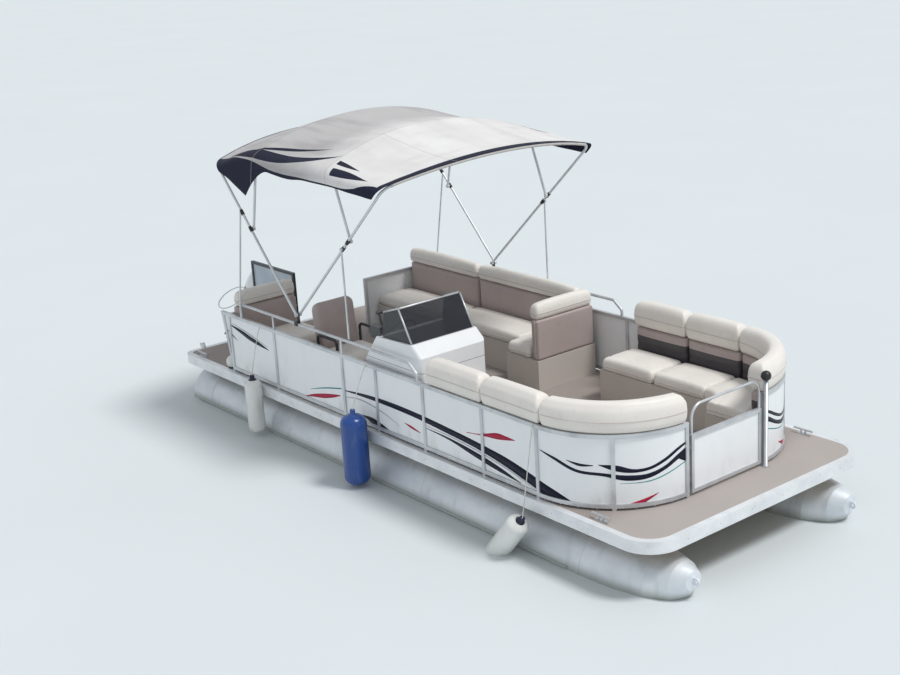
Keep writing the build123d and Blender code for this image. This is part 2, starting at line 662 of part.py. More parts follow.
# Each bow: root, angle, half width, top of the crown along the leg, crown radius, how far
# the cloth lies from the tube's middle along the leg, and how deep its side flap hangs
BOWS = (
    ("bimini_aft_bow", (PIVOT_X, PIVOT_Z), AFT_ANGLE, AFT_HALF, 2030.0, MAIN_CROWN, 14.0, 20.0),
    ("bimini_aft_hoop", AFT_JOINT, 76.0, AFT_HALF - 31, 1010.0, HOOP_CROWN, 14.0, 350.0),
    ("bimini_front_hoop", FRONT_JOINT, 110.0, FRONT_HALF - 31, 900.0, HOOP_CROWN, 16.0, 40.0),
    ("bimini_front_bow", (PIVOT_X, PIVOT_Z), FRONT_ANGLE, FRONT_HALF, 2273.0, MAIN_CROWN, 16.8, 60.0),
)
for name, root, angle, half, top, crown_r, gap, flap in BOWS:
    plane = leg_plane(root[0], root[1], angle)
    with BuildPart() as bow:
        with BuildLine(plane) as path:
            hoop_lines(half, top, crown_r, 150, 0)
        with BuildSketch(Plane(origin=path.wire() @ 0, z_dir=path.wire() % 0)):
            Circle(BOW_TUBE)
        sweep(path=path.wire())
        for side in SIDES:
            with Locations((root[0], side * half, root[1])):
                Cylinder(18, 24, rotation=(90, 0, 0))
                Cylinder(6 if name == "bimini_aft_bow" else 6.3, 40, rotation=(90, 0, 0), mode=Mode.SUBTRACT)
        if name == "bimini_front_bow":
            for side in SIDES:
                with Locations((FRONT_JOINT[0], side * (FRONT_HALF - 28), FRONT_JOINT[1])):
                    Cylinder(6, 33, rotation=(90, 0, 0))
    bow.part.label = name
    export_step(bow.part, f"parts/{name}.step")

# Each mount: a clamp round the handrail and a plate that stands up between the bows' eyes
PLATE_Y = (AFT_HALF + FRONT_HALF) / 2
with BuildPart() as mounts:
    for side in SIDES:
        with Locations((PIVOT_X, side * HANDRAIL_Y, HANDRAIL_Z + 3.5)):
            Box(46, 40, 37)
        with Locations((PIVOT_X, side * PLATE_Y, (HANDRAIL_Z + PIVOT_Z) / 2)):
            Box(34, 13, PIVOT_Z - HANDRAIL_Z)
        with Locations((PIVOT_X, side * PLATE_Y, PIVOT_Z)):
            Cylinder(17, 13, rotation=(90, 0, 0))
        with Locations((PIVOT_X, side * HANDRAIL_Y, HANDRAIL_Z)):
            Cylinder(14, 90, rotation=(0, 90, 0), mode=Mode.SUBTRACT)
        with Locations((PIVOT_X, side * (AFT_HALF - 22), PIVOT_Z)):
            Cylinder(6, 72, rotation=(90, 0, 0))
mounts.part.label = "bimini_mounts"
export_step(mounts.part, "parts/bimini_mounts.step")

BRACE_FOOT = (STERN_X + 1275, HANDRAIL_Z - 10)
BRACE_TOP = on_leg(AFT_ANGLE, 1200)
BRACE_Y = AFT_HALF + 21.8
with BuildPart() as rear_braces:
    for side in SIDES:
        with BuildLine() as brace:
            Line((BRACE_FOOT[0], side * BRACE_Y, BRACE_FOOT[1]), (BRACE_TOP[0], side * BRACE_Y, BRACE_TOP[1]))
        with BuildSketch(Plane(origin=brace.line @ 0, z_dir=brace.line % 0)):
            Circle(9)
        sweep(path=brace.line)
    with Locations(*[(AFT_JOINT[0], side * (AFT_HALF - 27.75), AFT_JOINT[1]) for side in SIDES]):
        Cylinder(6, 30.5, rotation=(90, 0, 0))
rear_braces.part.label = "bimini_rear_braces"
export_step(rear_braces.part, "parts/bimini_rear_braces.step")

FRONT_BRACE = on_leg(FRONT_ANGLE, 1130)
FRONT_BRACE_Y = FRONT_HALF + 21.8
FRONT_BRACE_LONG = FRONT_BRACE[1] - HANDRAIL_Z - 20
with BuildPart() as front_braces:
    for side in SIDES:
        with Locations((FRONT_BRACE[0], side * FRONT_BRACE_Y, FRONT_BRACE[1] - FRONT_BRACE_LONG / 2)):
            Cylinder(9, FRONT_BRACE_LONG)
        with Locations((FRONT_BRACE[0], side * FRONT_BRACE_Y, FRONT_BRACE[1])):
            Cylinder(16, 18, rotation=(90, 0, 0))
front_braces.part.label = "bimini_front_braces"
export_step(front_braces.part, "parts/bimini_front_braces.step")

SKIN = 8.0
# Between the hoops the cloth has one more line, where its side flap is back to a narrow hem
BETWEEN = ("between", (STERN_X + 2330, DECK_TOP + 1500), 90.0, 0.0, 1045.0, HOOP_CROWN, 14.0, 40.0)
with BuildPart() as canopy:
    for name, root, angle, half, top, crown_r, gap, flap in (*BOWS[:2], BETWEEN, *BOWS[2:]):
        with BuildSketch(leg_plane(root[0], root[1], angle)):
            with BuildLine():
                inner = AFT_HALF + 15
                foot = hoop(inner, top + gap, crown_r + gap, 120, 0, 1)[1][1] - flap
                hoop_lines(inner, top + gap, crown_r + gap, 120, foot)
                hoop_lines(inner + SKIN, top + gap + SKIN, crown_r + gap + SKIN, 120 + SKIN, foot)
                Line((inner, foot), (inner + SKIN, foot))
                Line((-inner, foot), (-inner - SKIN, foot))
            make_face()
    loft()
canopy.part.label = "bimini_canopy"
export_step(canopy.part, "parts/bimini_canopy.step")

# Outboard motor. MOTOR holds its side view: x forward, y up, when the motor runs.

FORWARD = (cos(radians(TILT_REST)), 0, -sin(radians(TILT_REST)))
UPWARD = (sin(radians(TILT_REST)), 0, cos(radians(TILT_REST)))
MOTOR = Plane(origin=(TILT_X, 0, TILT_Z), x_dir=FORWARD, z_dir=(0, -1, 0))


def motor_level(up):
    # The motor seen from above at a height along its own leg.
    return Plane(
        origin=(TILT_X + up * UPWARD[0], 0, TILT_Z + up * UPWARD[2]),
        x_dir=FORWARD,
        z_dir=UPWARD,
    )


with BuildPart() as pod:
    with BuildSketch(Plane.XZ):
        with BuildLine():
            Polyline(
                (STERN_X + 1050, CROSS_TOP - CROSS_HIGH),
                (STERN_X - 10, CROSS_TOP - CROSS_HIGH),
                (STERN_X - 60, 560),
                (STERN_X - 250, 560),
                (STERN_X - 250, 735),
                (STERN_X - 290, 735),
                (STERN_X - 290, 330),
                (STERN_X - 120, 300),
                (STERN_X + 500, 420),
                close=True,
            )
        make_face()
    extrude(amount=210, both=True)
pod.part.label = "motor_pod"
export_step(pod.part, "parts/motor_pod.step")

with BuildPart() as clamp:
    for side in SIDES:
        with BuildSketch(Plane.XZ.offset(-side * 110 if side > 0 else 92)):
            with BuildLine():
                Polyline(
                    (TILT_X - 34, TILT_Z + 20),
                    (TILT_X + 20, TILT_Z + 34),
                    (TILT_X + 66, TILT_Z - 30),
                    (TILT_X + 66, TILT_Z - 64),
                    (TILT_X + 40, TILT_Z - 64),
                    (TILT_X + 40, TILT_Z - 400),
                    (TILT_X + 10, TILT_Z - 400),
                    (TILT_X - 34, TILT_Z - 60),
                    close=True,
                )
            make_face()
        extrude(amount=18)
    with Locations((TILT_X, 0, TILT_Z)):
        Cylinder(16, 220, rotation=(90, 0, 0))
clamp.part.label = "clamp_bracket"
export_step(clamp.part, "parts/clamp_bracket.step")

with BuildPart() as swivel:
    with BuildSketch(MOTOR):
        with BuildLine():
            Polyline((-110, 40), (-20, 34), (26, 0), (14, -60), (-30, -420), (-110, -420), close=True)
        make_face()
    extrude(amount=70, both=True)
    with Locations((TILT_X, 0, TILT_Z)):
        Cylinder(16.3, 200, rotation=(90, 0, 0), mode=Mode.SUBTRACT)
    with BuildSketch(motor_level(-430)):
        with Locations((-75, 0)):
            Circle(22)
    extrude(amount=480, mode=Mode.SUBTRACT)
swivel.part.label = "swivel_bracket"
export_step(swivel.part, "parts/swivel_bracket.step")

with BuildPart() as leg:
    with BuildSketch(motor_level(-456)):
        with Locations((-75, 0)):
            Circle(21.7)
    extrude(amount=520)
    for low, high in ((46, 70), (-458, -428)):
        with BuildSketch(motor_level(low)):
            with Locations((-150, 0)):
                Rectangle(200, 90)
        extrude(amount=high - low)
    with BuildSketch(MOTOR):
        with BuildLine():
            Polyline(
                (-340, 76),
                (-152, 76),
                (-152, 40),
                (-170, -100),
                (-170, -560),
                (-330, -560),
                (-350, -100),
                close=True,
            )
        make_face()
    extrude(amount=62, both=True)
    with BuildSketch(motor_level(-592)):
        with Locations((-290, 0)):
            SlotOverall(470, 190)
    extrude(amount=10)
    with BuildSketch(MOTOR):
        with BuildLine():
            Polyline(
                (-330, -560),
                (-170, -560),
                (-120, -740),
                (-200, -800),
                (-330, -930),
                (-400, -930),
                (-420, -760),
                (-350, -600),
                close=True,
            )
        make_face()
    extrude(amount=14, both=True)
    with BuildSketch(MOTOR):
        with BuildLine():
            Polyline((-430, -760), (-20, -760), (-60, -725), (-150, -700), (-430, -712), close=True)
        make_face()
    revolve(axis=Axis(MOTOR.from_local_coords((0, -760, 0)), FORWARD))
leg.part.label = "motor_leg"
export_step(leg.part, "parts/motor_leg.step")

# Outlines of the cowling from its foot up: level, front, back, half width, corner radius
COWL = (
    (76, 0, -480, 150, 120),
    (150, 15, -515, 185, 165),
    (330, 5, -520, 182, 165),
    (470, -30, -490, 158, 145),
    (540, -90, -440, 115, 105),
    (566, -170, -380, 60, 55),
)
with BuildPart() as cowl:
    for level, front, back, half, corner in COWL:
        with BuildSketch(motor_level(level)):
            with Locations(((front + back) / 2, 0)):
                RectangleRounded(front - back, 2 * half, corner)
    loft()
cowl.part.label = "motor_cowling"
export_step(cowl.part, "parts/motor_cowling.step")

PROP_AXIS = MOTOR.from_local_coords((-430.3, -760, 0))
with BuildPart() as propeller:
    with BuildSketch(Plane(origin=PROP_AXIS, z_dir=(-FORWARD[0], 0, -FORWARD[2]))):
        Circle(44)
    extrude(amount=110)
    hub = Plane(origin=PROP_AXIS, z_dir=(-FORWARD[0], 0, -FORWARD[2])).location
    for turn in (0, 120, 240):
        blade = hub * Location((0, 0, 56), (0, 0, turn))
        with Locations(blade * Location((95, 0, 0), (32, 0, 0))):
            Box(120, 120, 6)
propeller.part.label = "propeller"
export_step(propeller.part, "parts/propeller.step")

# Boarding ladder at the stern, hanging; it folds up and forward onto the deck

LADDER_Y = -DECK_HALF + 435.0
LADDER_X = STERN_X - 32
LADDER_Z = DECK_TOP + 24
with BuildPart() as ladder:
    for side in SIDES:
        with Locations((LADDER_X, LADDER_Y + side * 170, LADDER_Z - 315)):
            Cylinder(12.5, 610)
        with Locations((LADDER_X, LADDER_Y + side * 170, LADDER_Z)):
            Cylinder(16, 22, rotation=(90, 0, 0))
            Cylinder(6.3, 40, rotation=(90, 0, 0), mode=Mode.SUBTRACT)
    for drop in (190, 390, 590):
        with Locations((LADDER_X, LADDER_Y, LADDER_Z - drop)):
            Box(32, 336, 20)
ladder.part.label = "boarding_ladder"
export_step(ladder.part, "parts/boarding_ladder.step")

with BuildPart() as ladder_brackets:
    for side in SIDES:
        with Locations((STERN_X + 4, LADDER_Y + side * 200, DECK_TOP + 20)):
            Box(104, 12, 40)
        with Locations((LADDER_X, LADDER_Y + side * 182, LADDER_Z)):
            Cylinder(6, 36, rotation=(90, 0, 0))
ladder_brackets.part.label = "ladder_brackets"
export_step(ladder_brackets.part, "parts/ladder_brackets.step")

# Fittings

CLEATS = (
    (300, 73 - DECK_HALF),
    (300, DECK_HALF - 73),
    (6300, 95 - DECK_HALF),
    (6300, DECK_HALF - 95),
)
with BuildPart() as cleats:
    for x, y in CLEATS:
        with Locations((STERN_X + x, y, DECK_TOP + 3)):
            Box(120, 36, 6)
        with Locations((STERN_X + x - 22, y, DECK_TOP + 20), (STERN_X + x + 22, y, DECK_TOP + 20)):
            Cylinder(8, 34)
        with Locations((STERN_X + x, y, DECK_TOP + 42)):
            Cylinder(9, 190, rotation=(0, 90, 0))
cleats.part.label = "mooring_cleats"
export_step(cleats.part, "parts/mooring_cleats.step")

# Fenders: x from the stern edge, y outside the deck's edge, z, radius, length, lean, and
# where the line is tied: over the top of the fence's rail, or to its outer face
OVER = ((-12, 12), (RAIL - 6, 4.3))
FACE = ((-16, -60), (-4.3, -10))
FENDERS = (
    ("fender_blue", ((3400, 135, 690, 120, 680, 0, OVER),)),
    ("fenders_white", ((1600, 97, 650, 85, 560, 0, OVER), (5420, 105, 470, 95, 560, 40, FACE))),
)
LINE_R = 4.0
LINE_BEND = 20.0
for name, places in FENDERS:
    with BuildPart() as fender:
        for x, out, z, radius, length, lean, hitch in places:
            with Locations(Location((STERN_X + x, -DECK_HALF - out, z), (0, lean, 0))):
                Cylinder(radius, length)
        fillet(fender.edges().filter_by(GeomType.CIRCLE), 60)
        for x, out, z, radius, length, lean, hitch in places:
            axis = Location((STERN_X + x, -DECK_HALF - out, z), (0, lean, 0))
            head = axis * Location((0, 0, length / 2 + 14))
            with Locations(head):
                Cylinder(24, 52)
            with Locations(head * Location((0, 0, 8))):
                Cylinder(8, 60, rotation=(0, 90, 0), mode=Mode.SUBTRACT)
    fender.part.label = name
    export_step(fender.part, f"parts/{name}.step")

# Each line runs from its fender to the fence's rail.
RAIL_TOP = DECK_TOP + FENCE_HIGH
with BuildPart() as fender_lines:
    for name, places in FENDERS:
        for x, out, z, radius, length, lean, hitch in places:
            axis = Location((STERN_X + x, -DECK_HALF - out, z), (0, lean, 0))
            head = (axis * Location((0, 0, length / 2 + 40))).position
            (edge_y, edge_z), (end_y, end_z) = hitch
            edge = Vector(head.X, -FENCE_Y + edge_y, RAIL_TOP + edge_z)
            slant = radians((edge - head).get_angle(Vector(sin(radians(lean)), 0, cos(radians(lean)))))
            foot = (axis * Location((0, 0, length / 2 + 40.3 + LINE_R * sin(slant)))).position
            with BuildLine() as line:
                FilletPolyline(
                    foot,
                    (foot.X, edge.Y, edge.Z),
                    (foot.X, -FENCE_Y + end_y, RAIL_TOP + end_z),
                    radius=LINE_BEND,
                )
            with BuildSketch(Plane(origin=line.wire() @ 0, z_dir=line.wire() % 0)):
                Circle(LINE_R)
            sweep(path=line.wire())
            print(name, "line bend radius", LINE_BEND)
fender_lines.part.label = "fender_lines"
export_step(fender_lines.part, "parts/fender_lines.step")
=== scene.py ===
"""Looks for the pontoon boat: camera and light, finishes, cushions, canopy, stripes and fittings.

Metres, in the frame of the CAD model: +X is the bow, +Y port, +Z up. Lengths called "along"
run forward from the stern edge of the deck and bend round the bow corner with the fence.
"""
from math import cos, hypot, pi, radians, sin

import bmesh
import bpy
import numpy as np
from mathutils import Matrix, Vector


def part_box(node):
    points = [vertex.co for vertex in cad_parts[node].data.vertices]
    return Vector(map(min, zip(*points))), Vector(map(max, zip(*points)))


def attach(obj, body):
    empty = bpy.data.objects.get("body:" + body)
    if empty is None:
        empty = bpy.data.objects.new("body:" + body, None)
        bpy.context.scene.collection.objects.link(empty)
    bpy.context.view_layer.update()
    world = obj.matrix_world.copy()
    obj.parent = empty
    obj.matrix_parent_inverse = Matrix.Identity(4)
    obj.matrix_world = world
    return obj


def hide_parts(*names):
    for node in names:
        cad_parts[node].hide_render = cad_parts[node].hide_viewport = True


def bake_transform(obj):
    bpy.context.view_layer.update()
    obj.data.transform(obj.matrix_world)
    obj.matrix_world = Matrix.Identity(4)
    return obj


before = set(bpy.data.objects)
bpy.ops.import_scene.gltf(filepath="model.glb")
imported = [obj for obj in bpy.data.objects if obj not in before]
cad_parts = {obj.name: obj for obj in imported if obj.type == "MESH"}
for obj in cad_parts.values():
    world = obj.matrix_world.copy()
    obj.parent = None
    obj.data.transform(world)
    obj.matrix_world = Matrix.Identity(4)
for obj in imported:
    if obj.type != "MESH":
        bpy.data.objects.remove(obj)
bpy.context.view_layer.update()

# Places taken from the frame
TRIM, FENCE, SEATS = (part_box(name) for name in ("deck_trim", "fence_frame_starboard", "bow_lounge_seats"))
STERN, BOW = TRIM[0].x, TRIM[1].x
DECK, DECK_HALF = TRIM[1].z, TRIM[1].y
FENCE_Y, FENCE_TOP, GATE_X = -FENCE[0].y, FENCE[1].z, FENCE[1].x
SEAT_LOW, SEAT_TOP = SEATS[0].z, SEATS[1].z
RAIL = 0.032
CORNER_R = 0.82
CORNER_AT = GATE_X - CORNER_R - STERN
CORNER_END = CORNER_AT + CORNER_R * pi / 2
WATERLINE = 0.33
SIDES = ((-1, "starboard"), (1, "port"))

# Camera: the drone's place and heading, found from the deck, fence and tube lines. It is
# turned towards the boat and given a longer lens, so that the boat fills the frame.
EYE = Vector((STERN + 13.402, -8.020, WATERLINE + 5.089))
HEADING, PITCH, ROLL = radians(37.465), radians(21.824), radians(1.355)
AIM = Vector((0.18, 0.0, 1.32))
LENS = 57.0


def added(name, data):
    """A new object in the scene."""
    made = bpy.data.objects.new(name, data)
    bpy.context.scene.collection.objects.link(made)
    return made


def photo_axes():
    """Right, up and forward of the photo's camera from its heading, pitch and roll."""
    forward = Vector((-sin(HEADING) * cos(PITCH), cos(HEADING) * cos(PITCH), -sin(PITCH)))
    level = Vector((cos(HEADING), sin(HEADING), 0))
    above = level.cross(forward)
    right = cos(ROLL) * level + sin(ROLL) * above
    return right, right.cross(forward), forward


right, up, forward = photo_axes()
turn = forward.rotation_difference(AIM - EYE).to_matrix()
axes = Matrix((right, up, -forward)).transposed()
camera = added("camera", bpy.data.cameras.new("camera"))
camera.data.lens = LENS
camera.data.clip_end = 200.0
camera.matrix_world = Matrix.Translation(EYE) @ (turn @ axes).to_4x4()
bpy.context.scene.camera = camera
bpy.context.scene.view_settings.view_transform = "Standard"


# Finishes


def operator(operation, swapped=False):
    """A method that joins two numbers with a Math node, in their order or swapped."""
    def method(self, other):
        return self.paint.math(operation, *((other, self) if swapped else (self, other)))
    return method


class Value:
    """A number that varies over a surface. Expressions on it add Math nodes: sums, products
    and comparisons, a | b for the larger of two, a & b for the smaller, and abs(a)."""

    def __init__(self, paint, socket):
        self.paint = paint
        self.socket = socket

    __add__ = __radd__ = operator("ADD")
    __mul__ = __rmul__ = operator("MULTIPLY")
    __sub__ = operator("SUBTRACT")
    __rsub__ = operator("SUBTRACT", swapped=True)
    __truediv__ = operator("DIVIDE")
    __gt__ = operator("GREATER_THAN")
    __lt__ = operator("LESS_THAN")
    __or__ = __ror__ = operator("MAXIMUM")
    __and__ = __rand__ = operator("MINIMUM")

    def __abs__(self):
        return self.paint.math("ABSOLUTE", self)

    def near(self, centre, half):
        """1 where the number lies within half of the centre."""
        return abs(self - centre) < half

    def ramp(self, low, high):
        """0 below low, 1 above high, and a smooth step between."""
        settings = {"interpolation_type": "SMOOTHSTEP"}
        return self.paint.node("MapRange", settings, {0: self, 1: low, 2: high})


class Paint:
    """A finish being made: one shader, the nodes that feed it and its colour so far."""

    def __init__(self, name, tint, **fixed):
        self.material = bpy.data.materials.new(name)
        self.material.use_nodes = True
        self.tree = self.material.node_tree
        self.shader = self.tree.nodes["Principled BSDF"]
        self.colour = tint
        for socket, value in fixed.items():
            self.put(self.shader.inputs[socket.replace("_", " ")], value)

    def put(self, socket, value):
        """Links a value to a socket, or sets the socket to a number, a colour or a vector."""
        if isinstance(value, Value):
            self.tree.links.new(value.socket, socket)
        elif isinstance(value, tuple) and socket.type == "RGBA":
            socket.default_value = (*value, 1.0)
        else:
            socket.default_value = value

    def node(self, kind, settings=None, sockets=None, out=0):
        """A node of that kind with its settings and its sockets' values or links."""
        made = self.tree.nodes.new("ShaderNode" + kind)
        for setting, value in (settings or {}).items():
            setattr(made, setting, value)
        for socket, value in (sockets or {}).items():
            self.put(made.inputs[socket], value)
        return Value(self, made.outputs[out])

    def math(self, operation, a, b=0.0):
        """A Math node's result for one or two numbers."""
        return self.node("Math", {"operation": operation}, {0: a, 1: b})

    def coat(self, share, tint):
        """Lays a tint over the colour so far: none of it where share is 0, all where it is 1."""
        sockets = {0: share, 6: self.colour, 7: tint}
        self.colour = self.node("Mix", {"data_type": "RGBA"}, sockets, out=2)

    def place(self, stretch=(1.0, 1.0, 1.0)):
        """Object coordinates, stretched."""
        return self.node("Mapping", None, {"Vector": self.node("TexCoord", out=3), "Scale": stretch})

    def axis(self, index):
        """One object coordinate, in metres."""
        return self.node("SeparateXYZ", None, {0: self.node("TexCoord", out=3)}, out=index)

    def uv(self, index):
        """One coordinate of the piece's own map."""
        return self.node("SeparateXYZ", None, {0: self.node("TexCoord", out=2)}, out=index)

    def noise(self, scale, detail, stretch=(1.0, 1.0, 1.0)):
        """Cloudy noise from 0 to 1 with that many clouds a metre."""
        sockets = {"Vector": self.place(stretch), "Scale": scale, "Detail": detail}
        return self.node("TexNoise", None, sockets)

    def cells(self, scale):
        """Distance to the nearest of the cells' middles, with that many cells a metre."""
        return self.node("TexVoronoi", None, {"Vector": self.place(), "Scale": scale})

    def wave(self, source, count):
        """A sine from 0 to 1 that repeats count times over one unit of the source."""
        return self.math("SINE", source * (2 * pi * count)) * 0.5 + 0.5

    def done(self, roughness, height=None, depth=0.001, strength=0.6):
        """The material, with a relief where a height is given, as deep as depth in metres."""
        self.put(self.shader.inputs["Base Color"], self.colour)
        self.put(self.shader.inputs["Roughness"], roughness)
        if height is not None:
            bump = self.node("Bump", None, {"Height": height, "Distance": depth, "Strength": strength})
            self.put(self.shader.inputs["Normal"], bump)
        return self.material


def shade(tint, by, plus=0.0):
    """A tint times a number plus another, up to white."""
    return tuple(min(1.0, by * c + plus) for c in tint)


def aluminium(name, tint, dull, rough, metallic, stains):
    """Brushed or satin aluminium: a fine grain along X, cloudy oxide and water stains."""
    paint = Paint(name, tint, Metallic=metallic)
    brushed = paint.noise(120.0, 2.0, (0.06, 1.0, 1.0))
    oxide = paint.noise(5.0, 5.0)
    streaks = paint.noise(14.0, 4.0, (1.0, 1.0, 0.12)).ramp(0.52, 0.75)
    paint.coat(oxide.ramp(0.35, 0.75), dull)
    paint.coat(streaks * stains, shade(dull, 0.72))
    roughness = rough + (oxide - 0.5) * 0.25 + (brushed - 0.5) * 0.12
    return paint.done(roughness, brushed * 0.4 + oxide, 0.0006, 0.35)


def tube_metal():
    """Mill-finish tube: clouded aluminium with a faint scum band just above the waterline."""
    paint = Paint("tube_metal", (0.87, 0.90, 0.93), Metallic=0.45)
    clouds = paint.noise(4.0, 6.0, (0.5, 1.0, 1.0))
    streaks = paint.noise(11.0, 4.0, (1.0, 1.0, 0.15)).ramp(0.5, 0.8)
    scum = 1 - (paint.axis(2) + clouds * 0.05).ramp(WATERLINE + 0.03, WATERLINE + 0.13)
    paint.coat(clouds.ramp(0.3, 0.7), (0.72, 0.76, 0.80))
    paint.coat(streaks * 0.35, (0.45, 0.49, 0.52))
    paint.coat(scum * 0.7, (0.36, 0.38, 0.33))
    grain = paint.noise(160.0, 2.0, (0.05, 1.0, 1.0))
    return paint.done(0.34 + clouds * 0.25 + scum * 0.2, grain + clouds, 0.0008, 0.4)


def panel_paint():
    """White enamel with a soft gloss, faint waves in the sheet and a little grime low down."""
    paint = Paint("panel_white", (0.86, 0.875, 0.885), Coat_Weight=0.5, Coat_Roughness=0.15)
    low = 1 - paint.axis(2).ramp(DECK + 0.05, DECK + 0.22)
    dirt = paint.noise(9.0, 6.0, (1.0, 1.0, 0.4)).ramp(0.45, 0.8)
    paint.coat(dirt * (low * 0.5 + 0.08), (0.55, 0.54, 0.50))
    return paint.done(0.28 + dirt * 0.2, paint.noise(2.2, 1.0), 0.004, 0.25)


def vinyl(name, tint, crease_shade, rough=0.42, below=None):
    """Marine vinyl: a pebbled grain of small cells, soft creases that are painted darker as
    shade, and worn, lighter crowns. below gives a height and the second colour that the vinyl has under it."""
    paint = Paint(name, tint, Specular_IOR_Level=0.4)
    creases = paint.noise(26.0, 4.0, (1.0, 1.0, 0.7))
    paint.coat(paint.noise(3.5, 5.0).ramp(0.35, 0.75), shade(tint, 1.07))
    # painted shade: the creases are darkened as if shaded
    paint.coat(creases.ramp(0.58, 0.8) * 0.4, crease_shade)
    if below:
        paint.coat(paint.axis(2) < below[0], below[1])
    relief = creases - paint.cells(520.0) * 0.22
    return paint.done(rough + (creases - 0.5) * 0.2, relief, 0.0022, 0.55)


def plastic(name, tint, rough):
    """Moulded plastic: a fine leather-like grain, with scuffs that are duller and paler."""
    paint = Paint(name, tint)
    scuffs = paint.noise(18.0, 8.0, (1.0, 0.3, 1.0)).ramp(0.6, 0.75)
    paint.coat(scuffs * 0.35, shade(tint, 0.8, 0.1))
    return paint.done(rough + scuffs * 0.15, paint.cells(240.0), 0.0006, 0.35)


def carpet_pile():
    """Short marine pile: speckled tufts, bleached patches and a paler bow deck."""
    paint = Paint("carpet_pile", (0.255, 0.205, 0.182), Sheen_Weight=0.25, Sheen_Roughness=0.6)
    speckle = paint.noise(150.0, 2.0).ramp(0.35, 0.65)
    bow_deck = paint.axis(0).ramp(BOW - 0.75, BOW - 0.45)
    paint.coat(speckle, (0.36, 0.305, 0.275))
    paint.coat(paint.noise(1.6, 5.0).ramp(0.35, 0.7) * 0.45, (0.42, 0.365, 0.33))
    paint.coat(bow_deck * 0.55, (0.52, 0.465, 0.43))
    return paint.done(0.93, paint.noise(420.0, 2.0) + speckle * 0.5, 0.003, 0.8)


def edge_trim():
    """The deck's rounded edge extrusion: bright, satin, with long ribs that run round it."""
    paint = Paint("edge_trim", (0.88, 0.89, 0.90), Metallic=0.35, Coat_Weight=0.2)
    clouds = paint.noise(6.0, 5.0)
    scuffs = paint.noise(30.0, 6.0, (0.3, 1.0, 1.0)).ramp(0.62, 0.78)
    paint.coat(clouds.ramp(0.3, 0.8), (0.74, 0.76, 0.78))
    paint.coat(scuffs * 0.5, (0.48, 0.48, 0.47))
    return paint.done(0.3 + clouds * 0.2, paint.wave(paint.axis(2), 52.0), 0.002, 0.5)


def glossy(name, tint, dull):
    """The start of a sprayed shell's finish: a deep clear gloss over a softly clouded colour."""
    paint = Paint(name, tint, Coat_Weight=0.8, Coat_Roughness=0.06)
    paint.coat(paint.noise(2.5, 4.0).ramp(0.3, 0.8), dull)
    return paint


def gelcoat(name, tint):
    """Sprayed shell with orange peel and hairline scratches."""
    paint = glossy(name, tint, shade(tint, 0.93))
    scratches = paint.noise(90.0, 2.0, (0.04, 1.0, 1.0)).ramp(0.66, 0.7)
    return paint.done(0.22 + scratches * 0.2, paint.noise(60.0, 1.0), 0.0008, 0.2)


CONSOLE_AFT, CONSOLE_FRONT = STERN + 3.330, STERN + 4.150
CONSOLE_IN, CONSOLE_OUT, HELM_Y = -0.470, -1.190, -0.80
MOTOR_TILT = radians(40)
TILT_AT = (STERN - 0.330, 0.800)


def frame_line(a, b, middle, half, width):
    """1 on the outline of a rectangle in two coordinates, as wide as the given width."""
    return abs((abs(a - middle[0]) - half[0]) | (abs(b - middle[1]) - half[1])) < width


def console_shell():
    """White moulded console: a groove round the inboard door, a latch, a seam under the
    sloped top and a scuffed dark kick band at the foot."""
    paint = glossy("helm_gelcoat", (0.84, 0.85, 0.86), (0.77, 0.78, 0.79))
    ahead, height = paint.axis(0), paint.axis(2)
    inboard = paint.axis(1) > CONSOLE_IN - 0.004
    middle = ((CONSOLE_AFT + CONSOLE_FRONT) / 2 + 0.02, DECK + 0.40)
    door = frame_line(ahead, height, middle, (0.235, 0.245), 0.0035) * inboard
    latch = frame_line(ahead, height, (middle[0] + 0.19, DECK + 0.47), (0.0, 0.0), 0.019) * inboard
    grooves = door | height.near(DECK + 0.668, 0.0025)
    kick = 1 - height.ramp(DECK + 0.056, DECK + 0.060)
    low = 1 - height.ramp(DECK + 0.1, DECK + 0.4)
    scuffs = paint.noise(22.0, 6.0, (1.0, 1.0, 0.4)).ramp(0.55, 0.8) * low
    paint.coat(scuffs * 0.5, (0.50, 0.49, 0.47))
    paint.coat(kick, (0.16, 0.16, 0.17))
    paint.coat(grooves, (0.22, 0.22, 0.23))
    paint.coat(latch, (0.05, 0.05, 0.055))
    relief = paint.noise(60.0, 1.0) * 0.2 - grooves + latch
    return paint.done(0.24 + kick * 0.4 + scuffs * 0.2, relief, 0.002, 0.4)


def cowling_paint():
    """White cowling with a dark foot band, two slanting side stripes, vents and a seam. Up
    and ahead are measured along the motor, which stands tilted about its tilt tube."""
    paint = glossy("cowling_paint", (0.80, 0.815, 0.83), (0.73, 0.745, 0.76))
    x, z = paint.axis(0) - TILT_AT[0], paint.axis(2) - TILT_AT[1]
    level = x * sin(MOTOR_TILT) + z * cos(MOTOR_TILT)
    ahead = x * cos(MOTOR_TILT) - z * sin(MOTOR_TILT)
    side = abs(paint.axis(1)) > 0.12
    sweep_up = level - ahead * 0.30
    wide_stripe = sweep_up.near(0.345, 0.022) * side * (ahead > -0.44) * (ahead < -0.06)
    thin_stripe = sweep_up.near(0.292, 0.008) * side * (ahead > -0.40) * (ahead < -0.12)
    foot = level < 0.112
    seam = level.near(0.150, 0.003)
    vents = (paint.wave(level, 45.0) > 0.6) * (ahead < -0.478) * level.near(0.330, 0.055)
    paint.coat(wide_stripe, NAVY)
    paint.coat(thin_stripe, (0.30, 0.31, 0.33))
    paint.coat(foot | seam | vents, (0.035, 0.037, 0.042))
    relief = paint.noise(60.0, 1.0) * 0.2 - seam - vents
    return paint.done(0.22 + foot * 0.25, relief, 0.002, 0.4)


